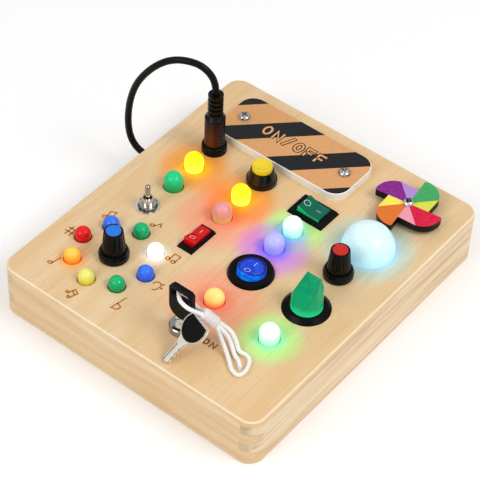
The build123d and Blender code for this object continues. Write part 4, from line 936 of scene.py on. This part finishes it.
white_ink = Paint("white ink", srgb(225, 240, 235), 0.4)
ink_wear = white_ink.noise(900, 3)
white_ink.set("Base Color", white_ink.mix(ink_wear, srgb(170, 210, 200), srgb(225, 240, 236)))
RED_AT = (-16.3, -17.0)
GREEN_AT = (15.2, 34.1)


def rocker_marks(name, body, pivot, along, ring_d, ring_at, bar_at, bar_half):
    """ring_at and bar_at are distances from the pivot; the bar lies along the rocking axis."""
    def spot(past, aside):
        place = [pivot[0], pivot[1]]
        place[along] += past
        place[1 - along] += aside
        return tuple(place)

    circle = arc(*spot(ring_at, 0.0), ring_d, ring_d)
    bar = [spot(bar_at - bar_half, 0.0), spot(bar_at + bar_half, 0.0)]
    marks(name, [circle, bar], ROCKER_STROKE, body, white_ink,
          lambda x, y: rocker_face(x, y, along, pivot), ROCKER_PROUD)


rocker_marks("red_rocker_marks", "red_rocker", RED_AT, 1,
             ring_d=2.4, ring_at=-3.2, bar_at=3.4, bar_half=1.1)
rocker_marks("green_rocker_marks", "green_rocker", GREEN_AT, 0,
             ring_d=3.2, ring_at=-3.6, bar_at=3.4, bar_half=1.2)
rocker_marks("blue_rocker_marks", "blue_rocker", BLUE_AT, 1,
             ring_d=2.8, ring_at=-3.0, bar_at=3.4, bar_half=1.2)


# ---- Floor and light ----
FLOOR = srgb(253, 253, 254)
FLOOR_HALF = 3        # metres
FLOOR_LIFT = 0.09     # light that the floor adds where the camera, metal or glass sees it
corners = [(x * FLOOR_HALF, y * FLOOR_HALF, 0) for x, y in ((-1, -1), (1, -1), (1, 1), (-1, 1))]
floor_mesh = bpy.data.meshes.new("floor")
floor_mesh.from_pydata(corners, [], [(0, 1, 2, 3)])
floor = add("floor", floor_mesh)
floor_paint = Paint("floor", FLOOR, 0.7)
haze = floor_paint.noise(3, 3)
floor_paint.set("Base Color", floor_paint.mix(haze, dimmed(FLOOR, 0.99), FLOOR))
sight = floor_paint.node("ShaderNodeLightPath").outputs
seen = floor_paint.maths("ADD", sight["Is Camera Ray"], sight["Is Glossy Ray"])
seen = floor_paint.maths("ADD", seen, sight["Is Transmission Ray"])
floor_paint.set("Emission Color", (1, 1, 1, 1))
floor_paint.set("Emission Strength", floor_paint.maths("MULTIPLY", seen, FLOOR_LIFT))
floor_mesh.materials.append(floor_paint.material)

world = bpy.data.worlds.new("world")
scene.world = world
world.use_nodes = True
sky = world.node_tree.nodes["Background"]
around = world.node_tree.nodes.new("ShaderNodeTexCoord")
parts = world.node_tree.nodes.new("ShaderNodeSeparateXYZ")
height = world.node_tree.nodes.new("ShaderNodeMapRange")
height.inputs[1].default_value = -1.0
shades = world.node_tree.nodes.new("ShaderNodeValToRGB")
# The sky's grey from straight down, 0, over the horizon, 0.5, to straight up, 1
SKY = ((0.0, 0.56), (0.5, 0.30), (0.6, 0.26), (0.7, 0.56), (0.82, 0.67), (1.0, 0.65))
while len(shades.color_ramp.elements) < len(SKY):
    shades.color_ramp.elements.new(0.5)
for stop, (position, shade) in zip(shades.color_ramp.elements, SKY):
    stop.position = position
    stop.color = (shade, shade * 0.995, shade * 0.985, 1)
world.node_tree.links.new(around.outputs["Generated"], parts.inputs[0])
world.node_tree.links.new(parts.outputs[2], height.inputs[0])
world.node_tree.links.new(height.outputs[0], shades.inputs[0])
world.node_tree.links.new(shades.outputs[0], sky.inputs["Color"])
sky.inputs["Strength"].default_value = 1.0


def softbox(name, place, size, power):
    """A rectangular lamp of so many metres and watts that faces the object."""
    data = bpy.data.lights.new(name, "AREA")
    data.shape = "RECTANGLE"
    data.size = size[0]
    data.size_y = size[1]
    data.energy = power
    obj = add(name, data)
    obj.location = place
    obj.rotation_euler = (-Vector(place)).to_track_quat("-Z", "Y").to_euler()
    return obj


softbox("key light", (1.0, 0.2, 1.2), size=(0.7, 0.5), power=8)
softbox("fill light", (-0.3, -1.1, 0.9), size=(0.8, 0.6), power=5.2)

scene.view_settings.view_transform = "Standard"
